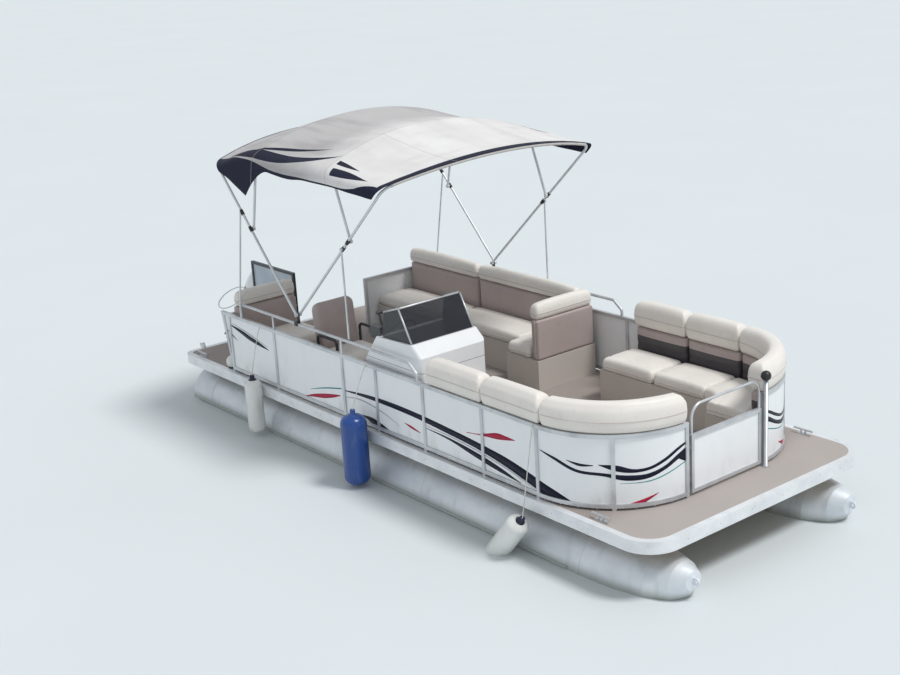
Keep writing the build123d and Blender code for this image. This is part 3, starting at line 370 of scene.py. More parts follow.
def tinted_acrylic():
    """Dark smoked sheet, partly see-through, with dried spray on it."""
    paint = Paint("smoked_acrylic", (0.012, 0.014, 0.022), Alpha=0.72, Specular_IOR_Level=0.7)
    spray = paint.cells(60.0).ramp(0.0, 0.25)
    film = paint.noise(7.0, 6.0).ramp(0.5, 0.8)
    paint.coat((1 - spray) * film * 0.35, (0.25, 0.27, 0.29))
    return paint.done(0.06 + film * 0.15)


def frosted_sheet():
    """The stern gate's bluish frosted sheet."""
    paint = Paint("frosted_sheet", (0.47, 0.55, 0.63), Alpha=0.9, Specular_IOR_Level=0.5)
    paint.coat(paint.noise(5.0, 5.0).ramp(0.3, 0.75), (0.60, 0.66, 0.71))
    return paint.done(0.5, paint.noise(300.0, 2.0), 0.0006, 0.3)


def board_wood():
    """Treated plywood seen from below: long grain and damp patches."""
    paint = Paint("deck_plywood", (0.30, 0.22, 0.13))
    grain = paint.noise(45.0, 5.0, (0.05, 1.0, 1.0))
    paint.coat(grain.ramp(0.3, 0.7), (0.47, 0.37, 0.24))
    paint.coat(paint.noise(1.2, 4.0).ramp(0.4, 0.7) * 0.4, (0.20, 0.16, 0.11))
    return paint.done(0.85, grain, 0.0015, 0.6)


NAVY = (0.006, 0.008, 0.024)
THREADS = 210.0


def weave(paint):
    """Height of a plain weave: two sets of threads that cross."""
    sockets = {"Vector": paint.place(), "Scale": THREADS}
    warp, weft = (paint.node("TexWave", {"bands_direction": way}, sockets, out=1) for way in "XY")
    return warp + weft


def mark(paint, across, ahead, centre, start, end, half):
    """1 inside a pointed shape: it lies along 'centre' and its half width is a sine that
    is nothing at the start and at the end."""
    share = ((ahead - start) / (end - start) & 1.0) | 0.0
    swell = paint.math("SINE", share * pi)
    return abs(across - centre) < swell * half - 0.0004


def canopy_cloth():
    """Woven acrylic. The map's first number runs across from -1 at the starboard hem to 1
    at the port hem, its second forward from 0 to 1. The side flaps, the bindings and the
    crescents and darts above the flaps are navy. The after part is greyed with painted
    shade, and its dirt streaks are painted heavier there, as more shade."""
    paint = Paint("canopy_cloth", (0.74, 0.715, 0.695), Sheen_Weight=0.06, Sheen_Roughness=0.5,
                  Specular_IOR_Level=0.25)
    across, ahead = abs(paint.uv(0)), paint.uv(1)
    fade = paint.noise(1.8, 5.0).ramp(0.3, 0.75)
    # painted shade: the after part is darkened as if in shade, and the front part is left pale as if lit
    aft_shade = 1 - (ahead + fade * 0.06).ramp(0.52, 0.72)
    streaks = paint.noise(2.6, 4.0, (0.30, 1.5, 1.0)).ramp(0.46, 0.66)
    grime = paint.noise(7.0, 6.0, (1.0, 0.4, 1.0)).ramp(0.5, 0.8)
    paint.coat(fade, (0.82, 0.80, 0.785))
    paint.coat(aft_shade * 0.72, (0.41, 0.395, 0.395))
    # the streaks are dirt everywhere, painted heavier inside the after part's painted shade
    paint.coat(streaks * (aft_shade * 0.26 + 0.08), (0.22, 0.21, 0.215))
    paint.coat(grime * 0.3, (0.52, 0.49, 0.46))
    # the flap's upper edge climbs towards the stern, and again at the front corner
    navy = across > (0.80 + ahead * 0.25) & (0.970 - ahead.ramp(0.70, 0.97) * 0.135)
    # the crescent bends away from the hem as it runs forward
    bend = (ahead - 0.33) | 0.0
    navy |= mark(paint, across, ahead, 0.818 - bend * bend * 1.42, 0.10, 0.650, 0.043)
    navy |= mark(paint, across, ahead, 0.966 - ahead * 0.62, 0.25, 0.57, 0.017)
    navy |= mark(paint, across, ahead, 0.680 + ahead * 0.09, 0.54, 0.79, 0.020) * (ahead > 0.66)
    navy |= mark(paint, across, ahead, 0.885 - ahead * 0.085, 0.50, 0.89, 0.031) * (ahead > 0.67)
    # the front binding and the aft one
    navy |= ahead > 0.966 + across * across * 0.010
    navy |= ahead < 0.012
    paint.coat(navy, (0.007, 0.009, 0.030))
    seams = across.near(0.34, 0.0025) | ahead.near(0.648, 0.0016) | ahead.near(0.316, 0.0016)
    paint.coat(seams * 0.5, (0.38, 0.36, 0.34))
    wrinkles = paint.noise(4.0, 4.0, (1.0, 0.30, 1.0))
    return paint.done(0.86, weave(paint) * 0.12 + wrinkles * 2.5 - seams * 0.6, 0.0028, 0.6)


def sleeve_cloth():
    """The same weave on its wrong side, a little darker."""
    paint = Paint("sleeve_cloth", (0.60, 0.57, 0.54), Sheen_Weight=0.2)
    paint.coat(paint.noise(8.0, 5.0).ramp(0.4, 0.8) * 0.5, (0.42, 0.40, 0.38))
    return paint.done(0.9, weave(paint), 0.0005, 0.5)


def stripe_film(name, tint):
    """Cut vinyl film: glossy, very slightly rippled, faded in patches."""
    paint = Paint(name, tint, Specular_IOR_Level=0.2)
    fade = paint.noise(6.0, 4.0).ramp(0.4, 0.8)
    paint.coat(fade * 0.3, shade(tint, 0.85, 0.01))
    return paint.done(0.3 + fade * 0.15, paint.noise(25.0, 1.0), 0.0004, 0.3)


def fender_skin(name, tint, scuff):
    """Inflated vinyl: shiny, ribbed, with rubbed grey bands where it chafes on the hull."""
    paint = Paint(name, tint, Coat_Weight=0.35, Coat_Roughness=0.2)
    rub = paint.noise(16.0, 6.0, (1.0, 1.0, 0.35)).ramp(0.5, 0.75)
    paint.coat(rub * 0.45, scuff)
    relief = paint.wave(paint.uv(0), 24.0) * 0.8 - rub * 0.2
    return paint.done(0.3 + rub * 0.3, relief, 0.0016, 0.4)


def line_braid():
    """Braided line: two sets of strands that cross, drawn on the tube's own map."""
    tint = (0.72, 0.71, 0.66)
    paint = Paint("line_braid", shade(tint, 0.55))
    around, along = paint.uv(0) * 3.0, paint.uv(1)
    strands = paint.wave(around + along, 1.0) | paint.wave(around - along, 1.0)
    paint.coat(strands, tint)
    return paint.done(0.9, strands, 0.001, 0.8)


def dial_face():
    """A dark dial with a pale ring of ticks on its own map: angle round it, then radius."""
    paint = Paint("dial_face", (0.015, 0.015, 0.018), Coat_Weight=1.0, Coat_Roughness=0.03)
    angle, radius = paint.uv(0), paint.uv(1)
    ticks = (paint.wave(angle, 20.0) > 0.86) * (radius > 0.72) * (radius < 0.90)
    paint.coat(ticks, (0.8, 0.8, 0.78))
    # the needle
    paint.coat(angle.near(0.64, 0.012) * (radius < 0.75), (0.7, 0.08, 0.02))
    return paint.done(0.35 + paint.noise(70.0, 4.0).ramp(0.55, 0.8) * 0.2)


TUBE = tube_metal()
BEAM = aluminium("beam_metal", (0.66, 0.68, 0.70), (0.52, 0.54, 0.56), 0.42, 0.8, 0.6)
RAILS = aluminium("rail_metal", (0.66, 0.675, 0.69), (0.53, 0.55, 0.57), 0.40, 0.6, 0.25)
CANOPY_TUBE = aluminium("canopy_tube_metal", (0.74, 0.76, 0.78), (0.62, 0.65, 0.67), 0.50, 0.45, 0.1)
EDGE = edge_trim()
PANEL = panel_paint()
CARPET = carpet_pile()
# each vinyl's second colour is the painted shade in its creases
CREAM = vinyl("cream_vinyl", (0.80, 0.755, 0.70), (0.62, 0.57, 0.51))
TAUPE_TINTS = ((0.44, 0.365, 0.345), (0.31, 0.25, 0.235))
TAUPE = vinyl("taupe_vinyl", *TAUPE_TINTS)
TWO_TONE = vinyl("two_tone_vinyl", *TAUPE_TINTS, below=(SEAT_TOP + 0.105, (0.075, 0.068, 0.074)))
PIPING = vinyl("piping_vinyl", (0.62, 0.56, 0.52), (0.5, 0.45, 0.41), 0.35)
BASE = plastic("lounge_base_plastic", (0.55, 0.50, 0.455), 0.55)
BLACK = plastic("black_plastic", (0.018, 0.018, 0.02), 0.42)
DARK = plastic("dark_plastic", (0.045, 0.046, 0.052), 0.38)
SHELL = console_shell()
MOTOR_WHITE = gelcoat("motor_paint", (0.80, 0.815, 0.83))
COWL = cowling_paint()
MOTOR_DARK = gelcoat("motor_dark_paint", (0.05, 0.055, 0.065))
SMOKED = tinted_acrylic()
FROSTED = frosted_sheet()
WOOD = board_wood()
CLOTH = canopy_cloth()
SLEEVE = sleeve_cloth()
NAVY_FILM = stripe_film("navy_film", NAVY)
RED_FILM = stripe_film("crimson_film", (0.42, 0.012, 0.05))
TEAL_FILM = stripe_film("teal_film", (0.03, 0.28, 0.30))
SILVER_FILM = stripe_film("silver_film", (0.45, 0.46, 0.48))
BLUE_FENDER = fender_skin("blue_fender_skin", (0.006, 0.055, 0.26), (0.10, 0.16, 0.32))
WHITE_FENDER = fender_skin("white_fender_skin", (0.80, 0.80, 0.77), (0.55, 0.55, 0.52))
LINE = line_braid()
DIAL = dial_face()
CAP = plastic("dark_cap", (0.014, 0.018, 0.045), 0.45)

# The CAD nodes that stay in view, behind their finish
FINISHES = {
    TUBE: "pontoon_starboard pontoon_port motor_pod",
    BEAM: "tube_brackets cross_members",
    WOOD: "deck_board",
    CARPET: "deck_carpet",
    EDGE: "deck_trim",
    RAILS: "fence_frame_starboard fence_frame_port handrails gate_hinges bow_gate_frame "
           "chair_pedestal boarding_ladder ladder_brackets mooring_cleats",
    PANEL: "fence_panels_starboard fence_panels_port bow_gate_panel",
    FROSTED: "stern_gate_panel",
    BASE: "bow_lounge_bases aft_lounge_bases",
    SHELL: "helm_console",
    SMOKED: "helm_screen",
    DARK: "helm_dash throttle_control chair_frame stern_gate_frame",
    BLACK: "stern_gate_foot steering_wheel bimini_mounts",
    CANOPY_TUBE: "bimini_aft_bow bimini_aft_hoop bimini_front_hoop bimini_front_bow "
                 "bimini_rear_braces bimini_front_braces",
    MOTOR_WHITE: "swivel_bracket motor_leg",
    MOTOR_DARK: "clamp_bracket propeller",
    COWL: "motor_cowling",
}
for material, nodes in FINISHES.items():
    for node in nodes.split():
        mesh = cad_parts[node].data
        mesh.materials.clear()
        mesh.materials.append(material)


# Surfaces worked out as whole arrays


def spot(x, y, z):
    """Points from their three coordinates, each one an array or a single number."""
    return np.stack(np.broadcast_arrays(x, y, z), axis=-1)


def unit(vectors):
    """The same directions, each one metre long."""
    return vectors / np.linalg.norm(vectors, axis=-1, keepdims=True)


def travelled(points):
    """How far each point lies along a row of points, measured from one to the next."""
    return np.concatenate([[0], np.cumsum(np.linalg.norm(np.diff(points, axis=0), axis=1))])


def grid_faces(rows, columns, round_rows=False, round_columns=False):
    """Corner numbers of the quads of a grid whose points are numbered row by row."""
    i = np.arange(rows if round_rows else rows - 1)[:, None]
    j = np.arange(columns if round_columns else columns - 1)[None, :]
    below, beside = (i + 1) % rows, (j + 1) % columns
    corners = (i * columns + j, i * columns + beside, below * columns + beside, below * columns + j)
    return np.stack([np.broadcast_to(c, (i.size, j.size)).ravel() for c in corners], axis=1)


def as_list(faces):
    """The faces as a list of lists of corner numbers."""
    return faces if isinstance(faces, list) else faces.tolist()


def piece(name, points, faces, material, body="hull", uv=None, merge=1e-5, smooth=True):
    """A mesh piece that rides on a body. uv gives each point's place on the piece's own map."""
    mesh = bpy.data.meshes.new(name)
    mesh.from_pydata(np.asarray(points, float).reshape(-1, 3), [], as_list(faces))
    if uv is not None:
        corner = np.zeros(len(mesh.loops), int)
        mesh.loops.foreach_get("vertex_index", corner)
        flat = np.asarray(uv, np.float32).reshape(-1, 2)[corner]
        mesh.uv_layers.new(name="map").data.foreach_set("uv", flat.ravel())
    work = bmesh.new()
    work.from_mesh(mesh)
    if merge:
        bmesh.ops.remove_doubles(work, verts=work.verts, dist=merge)
    bmesh.ops.recalc_face_normals(work, faces=work.faces)
    work.to_mesh(mesh)
    work.free()
    mesh.shade_smooth() if smooth else mesh.shade_flat()
    mesh.materials.append(material)
    made = added(name, mesh)
    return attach(made, body) if body else made


def joined(parts):
    """Several (points, faces) or (points, faces, uv) as one, with the faces renumbered."""
    points, faces, maps, start = [], [], [], 0
    for part in parts:
        points.append(part[0].reshape(-1, 3))
        faces += [[corner + start for corner in face] for face in as_list(part[1])]
        if len(part) > 2:
            maps.append(part[2].reshape(-1, 2))
        start += len(points[-1])
    return np.concatenate(points), faces, (np.concatenate(maps) if maps else None)


def group(name, parts, material, body="hull", merge=1e-5):
    """One piece made of several parts."""
    points, faces, uv = joined(parts)
    return piece(name, points, faces, material, body, uv, merge)


def finished(made, edge=0.0, thickness=0.0):
    """Bevels or thickens a piece with live modifiers."""
    if thickness:
        solid = made.modifiers.new("thickness", "SOLIDIFY")
        solid.thickness = thickness
        solid.offset = 0.0
    if edge:
        bevel = made.modifiers.new("edges", "BEVEL")
        bevel.width = edge
        bevel.segments = 2
        bevel.limit_method = "ANGLE"
        bevel.angle_limit = radians(40)


def sweep(path, profile, closed=False, above=(0, 0, 1)):
    """A profile carried along a path. Each path point gets the profile's first number
    sideways (direction of travel crossed with 'above') and its second towards 'above'."""
    path, profile = np.asarray(path, float), np.asarray(profile, float)
    ahead = np.roll(path, -1, 0) - np.roll(path, 1, 0)
    if not closed:
        ahead[0], ahead[-1] = path[1] - path[0], path[-1] - path[-2]
    ahead = unit(ahead)
    side = unit(np.cross(ahead, np.broadcast_to(np.asarray(above, float), path.shape)))
    top = np.cross(side, ahead)
    points = path[:, None] + side[:, None] * profile[:, :1] + top[:, None] * profile[:, 1:]
    return points, grid_faces(len(path), len(profile), closed, True)


def capped(path, profile, above=(0, 0, 1)):
    """A swept profile with a flat lid at each end."""
    points, faces = sweep(path, profile, False, above)
    rows, count = points.shape[:2]
    lids = [list(range(count)), list(range((rows - 1) * count, rows * count))]
    return points, faces.tolist() + lids


def ring(radius, sides):
    """Points of a circle, as a profile."""
    angle = np.arange(sides) * 2 * pi / sides
    return radius * np.stack([np.cos(angle), np.sin(angle)], axis=1)


def turned(profile, centre, axis=(0, 0, 1), sides=28):
    """A profile of (radius, height) pairs turned about an axis through a centre, with the
    angle as a share of the full turn and the height's place as its map."""
    profile = np.asarray(profile, float)
    axis = Vector(axis).normalized()
    first = axis.orthogonal().normalized()
    second = axis.cross(first)
    angle = (np.arange(sides + 1) * 2 * pi / sides)[:, None]
    out = np.cos(angle) * np.array(first) + np.sin(angle) * np.array(second)
    points = np.array(centre, float) + out[:, None] * profile[:, :1] + np.array(axis) * profile[:, 1:]
    share = np.linspace(0, 1, len(profile))
    uv = np.stack(np.broadcast_arrays(angle / (2 * pi), share[None, :]), axis=2)
    return points, grid_faces(sides + 1, len(profile)), uv


def fence_place(along, inset, up, side=-1):
    """Points beside the fence: straight ahead to the bow corner, then round a quarter
    circle to the bow gate. inset counts inward from the fence's outer face."""
    bend = np.clip((along - CORNER_AT) / CORNER_R, 0, pi / 2)
    past = np.maximum(along - CORNER_END, 0)
    x = STERN + np.minimum(along, CORNER_AT) + (CORNER_R - inset) * np.sin(bend)
    y = FENCE_Y - CORNER_R + (CORNER_R - inset) * np.cos(bend) - past
    return spot(x, side * y, up)


def spaced(half, count):
    """Numbers from -half to half, drawn closer together near both ends by the sine rule."""
    share = np.linspace(-1, 1, count)
    return half * (0.25 * share + 0.75 * np.sin(share * pi / 2))


def round_over(depth, radius):
    """Height share of a rounded edge, 0 at the border and 1 a radius inside it."""
    near = 1 - np.clip(depth / radius, 0, 1)
    return (1 - near**2.3) ** (1 / 2.3)


def drawn_in(a, b, share_a, share_b):
    """A cushion's plan whose ends and sides draw in a little in their middles, as parabolas."""
    return a * (1 - 0.006 * (1 - share_b**2)), b * (1 - 0.012 * (1 - share_a**2))


def pillow(size, corner, edge, crown, across, low_edge):
    """A cushion lying flat on its base with its middle over the origin. Its plan is a
    rectangle with round corners; its top is a rounded edge plus a crown that falls to the
    border; each share in 'across' sinks a narrow channel along it, a bell in section."""
    long, wide, high = size
    count_a = int(np.clip(long / 0.018, 24, 110))
    count_b = int(np.clip(wide / 0.018, 20, 60))
    a, b = np.meshgrid(spaced(long / 2, count_a), spaced(wide / 2, count_b), indexing="ij")
    share_a, share_b = 2 * a / long, 2 * b / wide
    over_a = np.maximum(abs(a) - (long / 2 - corner), 0)
    over_b = np.maximum(abs(b) - (wide / 2 - corner), 0)
    reach = np.maximum(np.hypot(over_a, over_b), 1e-9)
    shrink = np.where((over_a > 0) & (over_b > 0), np.maximum(over_a, over_b) / reach, 1.0)
    plan_a = np.sign(a) * (np.minimum(abs(a), long / 2 - corner) + over_a * shrink)
    plan_b = np.sign(b) * (np.minimum(abs(b), wide / 2 - corner) + over_b * shrink)
    plan_a, plan_b = drawn_in(plan_a, plan_b, share_a, share_b)
    depth = np.minimum(long / 2 - abs(a), wide / 2 - abs(b))
    waist = high * low_edge
    top = waist + (high - crown - waist) * round_over(depth, edge)
    top += crown * (1 - share_a**4) * (1 - share_b**4)
    dip = np.zeros_like(top)
    for place in across:
        dip = np.maximum(dip, np.exp(-(((share_b - place) * wide / 2) / 0.007) ** 2))
    top -= 0.011 * dip * round_over(depth, edge)
    under = waist * (1 - round_over(depth, edge * 0.5))
    faces = grid_faces(count_a, count_b)
    return joined([(spot(plan_a, plan_b, top), faces), (spot(plan_a, plan_b, under), faces[:, ::-1])])


def border(size, corner):
    """The plan's outline of a cushion, once round: four quarter circles joined by straight
    lines and cut into equal steps."""
    angle = np.linspace(0, pi / 2, 7)[:, None]
    corners = []
    for number, signs in enumerate(((1, 1), (-1, 1), (-1, -1), (1, -1))):
        turn_by = angle + number * pi / 2
        middle = np.array(signs) * (np.array(size[:2]) / 2 - corner)
        corners.append(middle + corner * np.hstack([np.cos(turn_by), np.sin(turn_by)]))
    knots = np.concatenate(corners + [corners[0][:1]])
    runs = travelled(knots)
    at = np.linspace(0, runs[-1], int(np.clip(runs[-1] / 0.03, 60, 260)), endpoint=False)
    return np.interp(at, runs, knots[:, 0]), np.interp(at, runs, knots[:, 1])


def cushion(name, size, place, material, node, body="hull", corner=0.04, edge=0.04,
            crown=0.02, across=(), low_edge=0.3, welt=True):
    """A padded piece from a pillow, put where place(a, b, c) says, with a welt sewn round
    its widest line. It stands for its CAD node."""
    points, faces, _ = pillow(size, corner, edge, crown, across, low_edge)
    made = piece(name, place(*points.T), faces, material, body, merge=2e-4)
    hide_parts(node)
    if welt:
        a, b = border(size, corner)
        a, b = drawn_in(a, b, 2 * a / size[0], 2 * b / size[1])
        level = size[2] * low_edge
        path = place(a, b, level)
        points, faces = sweep(path, ring(0.0042, 6), True, place(a, b, level + 0.02) - path)
        piece(name + "_welt", points, faces, PIPING, body, merge=0)


# Lounges: cushions beside the fence follow it, the others stand square


def by_fence(middle, inset, base, side, upright=False):
    """Where a pillow's points come beside the fence, lying flat or standing against it."""
    def place(a, b, c):
        inward, high = (c, b) if upright else (b, c)
        return fence_place(middle + a, inset + inward, base + high, side)
    return place


# where the bow lounges start, then sizes and insets from the fence's outer face
BOW_AFT = {-1: 4.26, 1: 4.42}
SEAT_WIDE, SEAT_INSET = 0.436, 0.381
BACK_HIGH, BACK_THICK, BACK_INSET = 0.312, 0.105, 0.044
ROLL_WIDE, ROLL_INSET, ROLL_TOP = 0.172, 0.080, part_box("bow_lounge_rolls")[1].z
GAP = 0.008
for side, word in SIDES:
    aft = BOW_AFT[side] + GAP
    splits = (aft, (aft + CORNER_AT) / 2 + 0.02, CORNER_AT + 0.02, CORNER_END - 0.002)
    for number, (low, high) in enumerate(zip(splits[:-1], splits[1:]), 1):
        length, middle, which = high - low - GAP, (low + high) / 2, f"{word}_{number}"
        cushion(f"bow_seat_{which}", (length, SEAT_WIDE, SEAT_TOP - SEAT_LOW),
                by_fence(middle, SEAT_INSET, SEAT_LOW, side), CREAM, "bow_lounge_seats",
                crown=0.022, edge=0.035, across=(-0.55, 0.55))
        cushion(f"bow_back_{which}", (length, BACK_HIGH, BACK_THICK),
                by_fence(middle, BACK_INSET, SEAT_LOW + 0.162, side, upright=True), TWO_TONE,
                "bow_lounge_backs", crown=0.018, edge=0.03, corner=0.03, across=(-0.1,), welt=False)
        cushion(f"bow_roll_{which}", (length + 0.004, ROLL_WIDE, ROLL_TOP - FENCE_TOP),
                by_fence(middle, ROLL_INSET, FENCE_TOP + 0.001, side), CREAM, "bow_lounge_rolls",
                crown=0.012, edge=0.078, corner=0.03, low_edge=0.42, across=(-0.72,))


def block_cushion(name, low, high, face, material, node, **more):
    """A cushion that fills a square block and faces up, to starboard, aft or fore. Its
    length runs along X on seats and side backs, and along Y on backs that face fore or aft."""
    low, high = np.array(low), np.array(high)
    wide, mid = high - low - 0.004, (low + high) / 2
    low, high = low + 0.002, high - 0.002
    order, place = {
        "up": ((0, 1, 2), lambda a, b, c: spot(mid[0] + a, mid[1] + b, low[2] + c)),
        "starboard": ((0, 2, 1), lambda a, b, c: spot(mid[0] + a, high[1] - c, mid[2] + b)),
        "aft": ((1, 2, 0), lambda a, b, c: spot(high[0] - c, mid[1] + a, mid[2] + b)),
        "fore": ((1, 2, 0), lambda a, b, c: spot(low[0] + c, mid[1] + a, mid[2] + b)),
    }[face]
    cushion(name, wide[list(order)], place, material, node, **more)


LOUNGE_AFT, PORT_FRONT = STERN + 1.024, STERN + 3.830
SEAT_IN, BACK_IN, BACK_OUT = 0.600, 1.046, 1.160
STERN_OUT, STERN_IN = -1.204, -0.504
AFT_SEATS = (
    ("port_seat_aft", (LOUNGE_AFT + 0.004, SEAT_IN + 0.006), (LOUNGE_AFT + 1.180, BACK_IN - 0.006)),
    ("port_seat_mid", (LOUNGE_AFT + 1.186, SEAT_IN + 0.006), (PORT_FRONT - 0.470, BACK_IN - 0.006)),
    ("chaise_seat", (PORT_FRONT - 0.464, SEAT_IN - 0.174), (PORT_FRONT - 0.132, BACK_IN - 0.006)),
    ("stern_seat", (LOUNGE_AFT + 0.122, STERN_OUT), (STERN + 1.696, STERN_IN)),
)
for name, low, high in AFT_SEATS:
    block_cushion(name, (*low, SEAT_LOW), (*high, SEAT_TOP), "up", CREAM, "aft_lounge_seats",
                  crown=0.024, edge=0.035, across=(-0.6, 0.6))
AFT_BACKS = (
    ("port_back_aft", (LOUNGE_AFT + 0.004, BACK_IN), (LOUNGE_AFT + 1.180, BACK_OUT), "starboard"),
    ("port_back_mid", (LOUNGE_AFT + 1.186, BACK_IN), (PORT_FRONT - 0.132, BACK_OUT), "starboard"),
    ("chaise_back", (PORT_FRONT - 0.124, SEAT_IN - 0.176), (PORT_FRONT, BACK_OUT), "aft"),
    ("stern_back", (LOUNGE_AFT + 0.004, STERN_OUT), (LOUNGE_AFT + 0.116, STERN_IN), "fore"),
)
SHOULDER, BACK_TOP = SEAT_LOW + 0.40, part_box("aft_lounge_backs")[1].z
for name, low, high, face in AFT_BACKS:
    block_cushion(name, (*low, SEAT_LOW), (*high, SHOULDER), face, TAUPE, "aft_lounge_backs",
                  crown=0.02, edge=0.03, corner=0.03, across=(-0.2,))
    block_cushion(name + "_roll", (*low, SHOULDER), (*high, BACK_TOP), "up", CREAM,
                  "aft_lounge_backs", crown=0.018, edge=0.052, corner=0.045, low_edge=0.35)

# Helm chair

CHAIR_X, CHAIR_LEAN = STERN + 2.5, radians(6)


def chair_seat_place(a, b, c):
    """The pillow lies flat on the chair's frame."""
    return spot(CHAIR_X + 0.058 + a, HELM_Y + b, DECK + 0.362 + c)


def chair_back_place(a, b, c):
    """The pillow stands on its long side, faces forward and leans aft."""
    out = c - BACK_THICK
    x = out * cos(CHAIR_LEAN) - b * sin(CHAIR_LEAN)
    z = out * sin(CHAIR_LEAN) + b * cos(CHAIR_LEAN)
    return spot(CHAIR_X - 0.158 + x, HELM_Y + a, DECK + 0.655 + z)


cushion("chair_seat", (0.396, 0.452, 0.126), chair_seat_place, CREAM, "chair_cushions", "helm_chair",
        corner=0.06, edge=0.045, crown=0.02, across=(-0.5, 0.5))
cushion("chair_back", (0.452, 0.500, BACK_THICK), chair_back_place, TAUPE, "chair_cushions",
        "helm_chair", corner=0.07, edge=0.04, crown=0.018, across=(-0.3, 0.35))

# Canopy: the cloth follows the crowned outline of each bow and hangs a little between them

PIVOT = np.array([STERN + 2.290, DECK + 0.850])
AFT_HALF = FENCE_Y - RAIL / 2 + 0.0015
FRONT_HALF = AFT_HALF - 0.0395
# the hem's share of the way from the middle of the cloth to the flap's free edge
HEM = 0.90


def on_leg(angle, reach):
    """A point on a main bow's leg in the side view, so far from the pivot."""
    return PIVOT + reach * np.array([cos(angle), sin(angle)])


AFT_ANGLE = float(np.arctan2(1.290, -1.190))
FRONT_ANGLE = float(np.arctan2(1.329, 1.450))
AFT_JOINT, FRONT_JOINT = on_leg(AFT_ANGLE, 1.0), on_leg(FRONT_ANGLE, 1.24)
# each bow's foot and lean in the side view, its top along the leg and its crown's radius
BOWS = {
    "aft_bow": (PIVOT, AFT_ANGLE, 2.030, 3.4),
    "aft_hoop": (AFT_JOINT, radians(76), 1.010, 3.0),
    "front_hoop": (FRONT_JOINT, radians(110), 0.900, 3.0),
    "front_bow": (PIVOT, FRONT_ANGLE, 2.273, 3.4),
}
MIDDLE_LINE = (np.array([STERN + 2.330, DECK + 1.500]), radians(90), 1.045, 3.0)
LIFT = 0.004
# the lines that the cloth runs over, each with its gap to the tube's middle and the drop
# past the hem that gives the flap its way down
CLOTH_LINES = (
    (*BOWS["aft_bow"], 0.0140, 0.020), (*BOWS["aft_hoop"], 0.0140, 0.350),
    (*MIDDLE_LINE, 0.0140, 0.040), (*BOWS["front_hoop"], 0.0160, 0.040),
    (*BOWS["front_bow"], 0.0168, 0.060),
)


def bow_outline(share, half, shoulder_r, top, crown_r, drop):
    """Half width and height along the leg of a crowned outline, for shares from -1 at the
    starboard end to 1 at the port end. Up to the hem's share the point walks round the
    crown and the shoulder, two circles that touch; past it, it goes straight down."""
    centre, reach = top - crown_r, half - shoulder_r
    rise = np.sqrt((crown_r - shoulder_r) ** 2 - reach**2)
    lean = np.arctan2(rise, reach)
    over = crown_r * (pi / 2 - lean)
    run = np.minimum(abs(share) / HEM, 1) * (over + shoulder_r * lean)
    down = np.maximum(abs(share) - HEM, 0) / (1 - HEM) * drop
    turn_by = np.clip((run - over) / shoulder_r, 0, lean)
    x = np.where(run < over, crown_r * np.sin(run / crown_r), reach + shoulder_r * np.cos(lean - turn_by))
    shoulder = centre + rise + shoulder_r * np.sin(lean - turn_by) - down
    y = np.where(run < over, centre + crown_r * np.cos(run / crown_r), shoulder)
    return np.sign(share) * x, y


def in_leg_plane(foot, angle, across, up_leg):
    """Points of the frame from numbers across the boat and up a bow's leg."""
    return spot(foot[0] + up_leg * cos(angle), across, foot[1] + up_leg * sin(angle))


def cloth_line(share, foot, angle, top, crown_r, gap, drop):
    """The cloth over one line, lifted off its tube."""
    high, half, shoulder_r = gap + LIFT, AFT_HALF + 0.015 + LIFT, 0.120 + LIFT
    outline = bow_outline(share, half, shoulder_r, top + high, crown_r + high, drop)
    return in_leg_plane(foot, angle, *outline)


def smooth_between(knots, values, at):
    """A curve through the lines: cubic pieces whose slopes are those of the chords on
    either side, which is what stretched cloth takes up."""
    slope = np.gradient(values, knots, axis=0)
    index = np.clip(np.searchsorted(knots, at, side="right") - 1, 0, len(knots) - 2)
    span = (knots[index + 1] - knots[index])[:, None, None]
    t = (at - knots[index])[:, None, None] / span
    start, end = values[index], values[index + 1]
    first, last = slope[index] * span, slope[index + 1] * span
    return (
        (2 * t**3 - 3 * t**2 + 1) * start + (t**3 - 2 * t**2 + t) * first
        + (3 * t**2 - 2 * t**3) * end + (t**3 - t**2) * last
    )


ACROSS = np.concatenate([
    np.linspace(-1, -HEM, 9)[:-1], np.linspace(-HEM, -0.72, 15)[:-1], np.linspace(-0.72, 0.72, 61),
    np.linspace(0.72, HEM, 15)[1:], np.linspace(HEM, 1, 9)[1:],
])
AHEAD = np.linspace(0, 1, 141)
lines = np.stack([cloth_line(ACROSS, *line) for line in CLOTH_LINES])
runs = travelled(lines[:, len(ACROSS) // 2])
AT_LINE = runs / runs[-1]
cloth = smooth_between(AT_LINE, lines, AHEAD)
# The flap hangs straight down from the hem. It comes to a point just aft of the short aft
# bow: a slanting edge behind the point, and a steep hollow edge ahead of it
POINT_AT, STEEP, POINT_DEPTH = AT_LINE[1] - 0.030, 0.105, 0.300
slant = np.clip(AHEAD / POINT_AT, 0, 1) ** 1.15
hollow = np.clip(1 - (AHEAD - POINT_AT) / STEEP, 0, 1) ** 1.5
depth = np.interp(AHEAD, [0, 0.5, 1], [0.020, 0.040, 0.060])
depth = (depth + POINT_DEPTH * np.where(AHEAD < POINT_AT, slant, hollow))[:, None]
free = np.clip((abs(ACROSS) - HEM) / (1 - HEM), 0, 1)[None, :]
for end, hem, part in ((0, 8, slice(0, 8)), (-1, -9, slice(-8, None))):
    down = unit(cloth[:, end] - cloth[:, hem])
    cloth[:, part] = cloth[:, hem][:, None] + down[:, None] * (free * depth)[:, part, None]
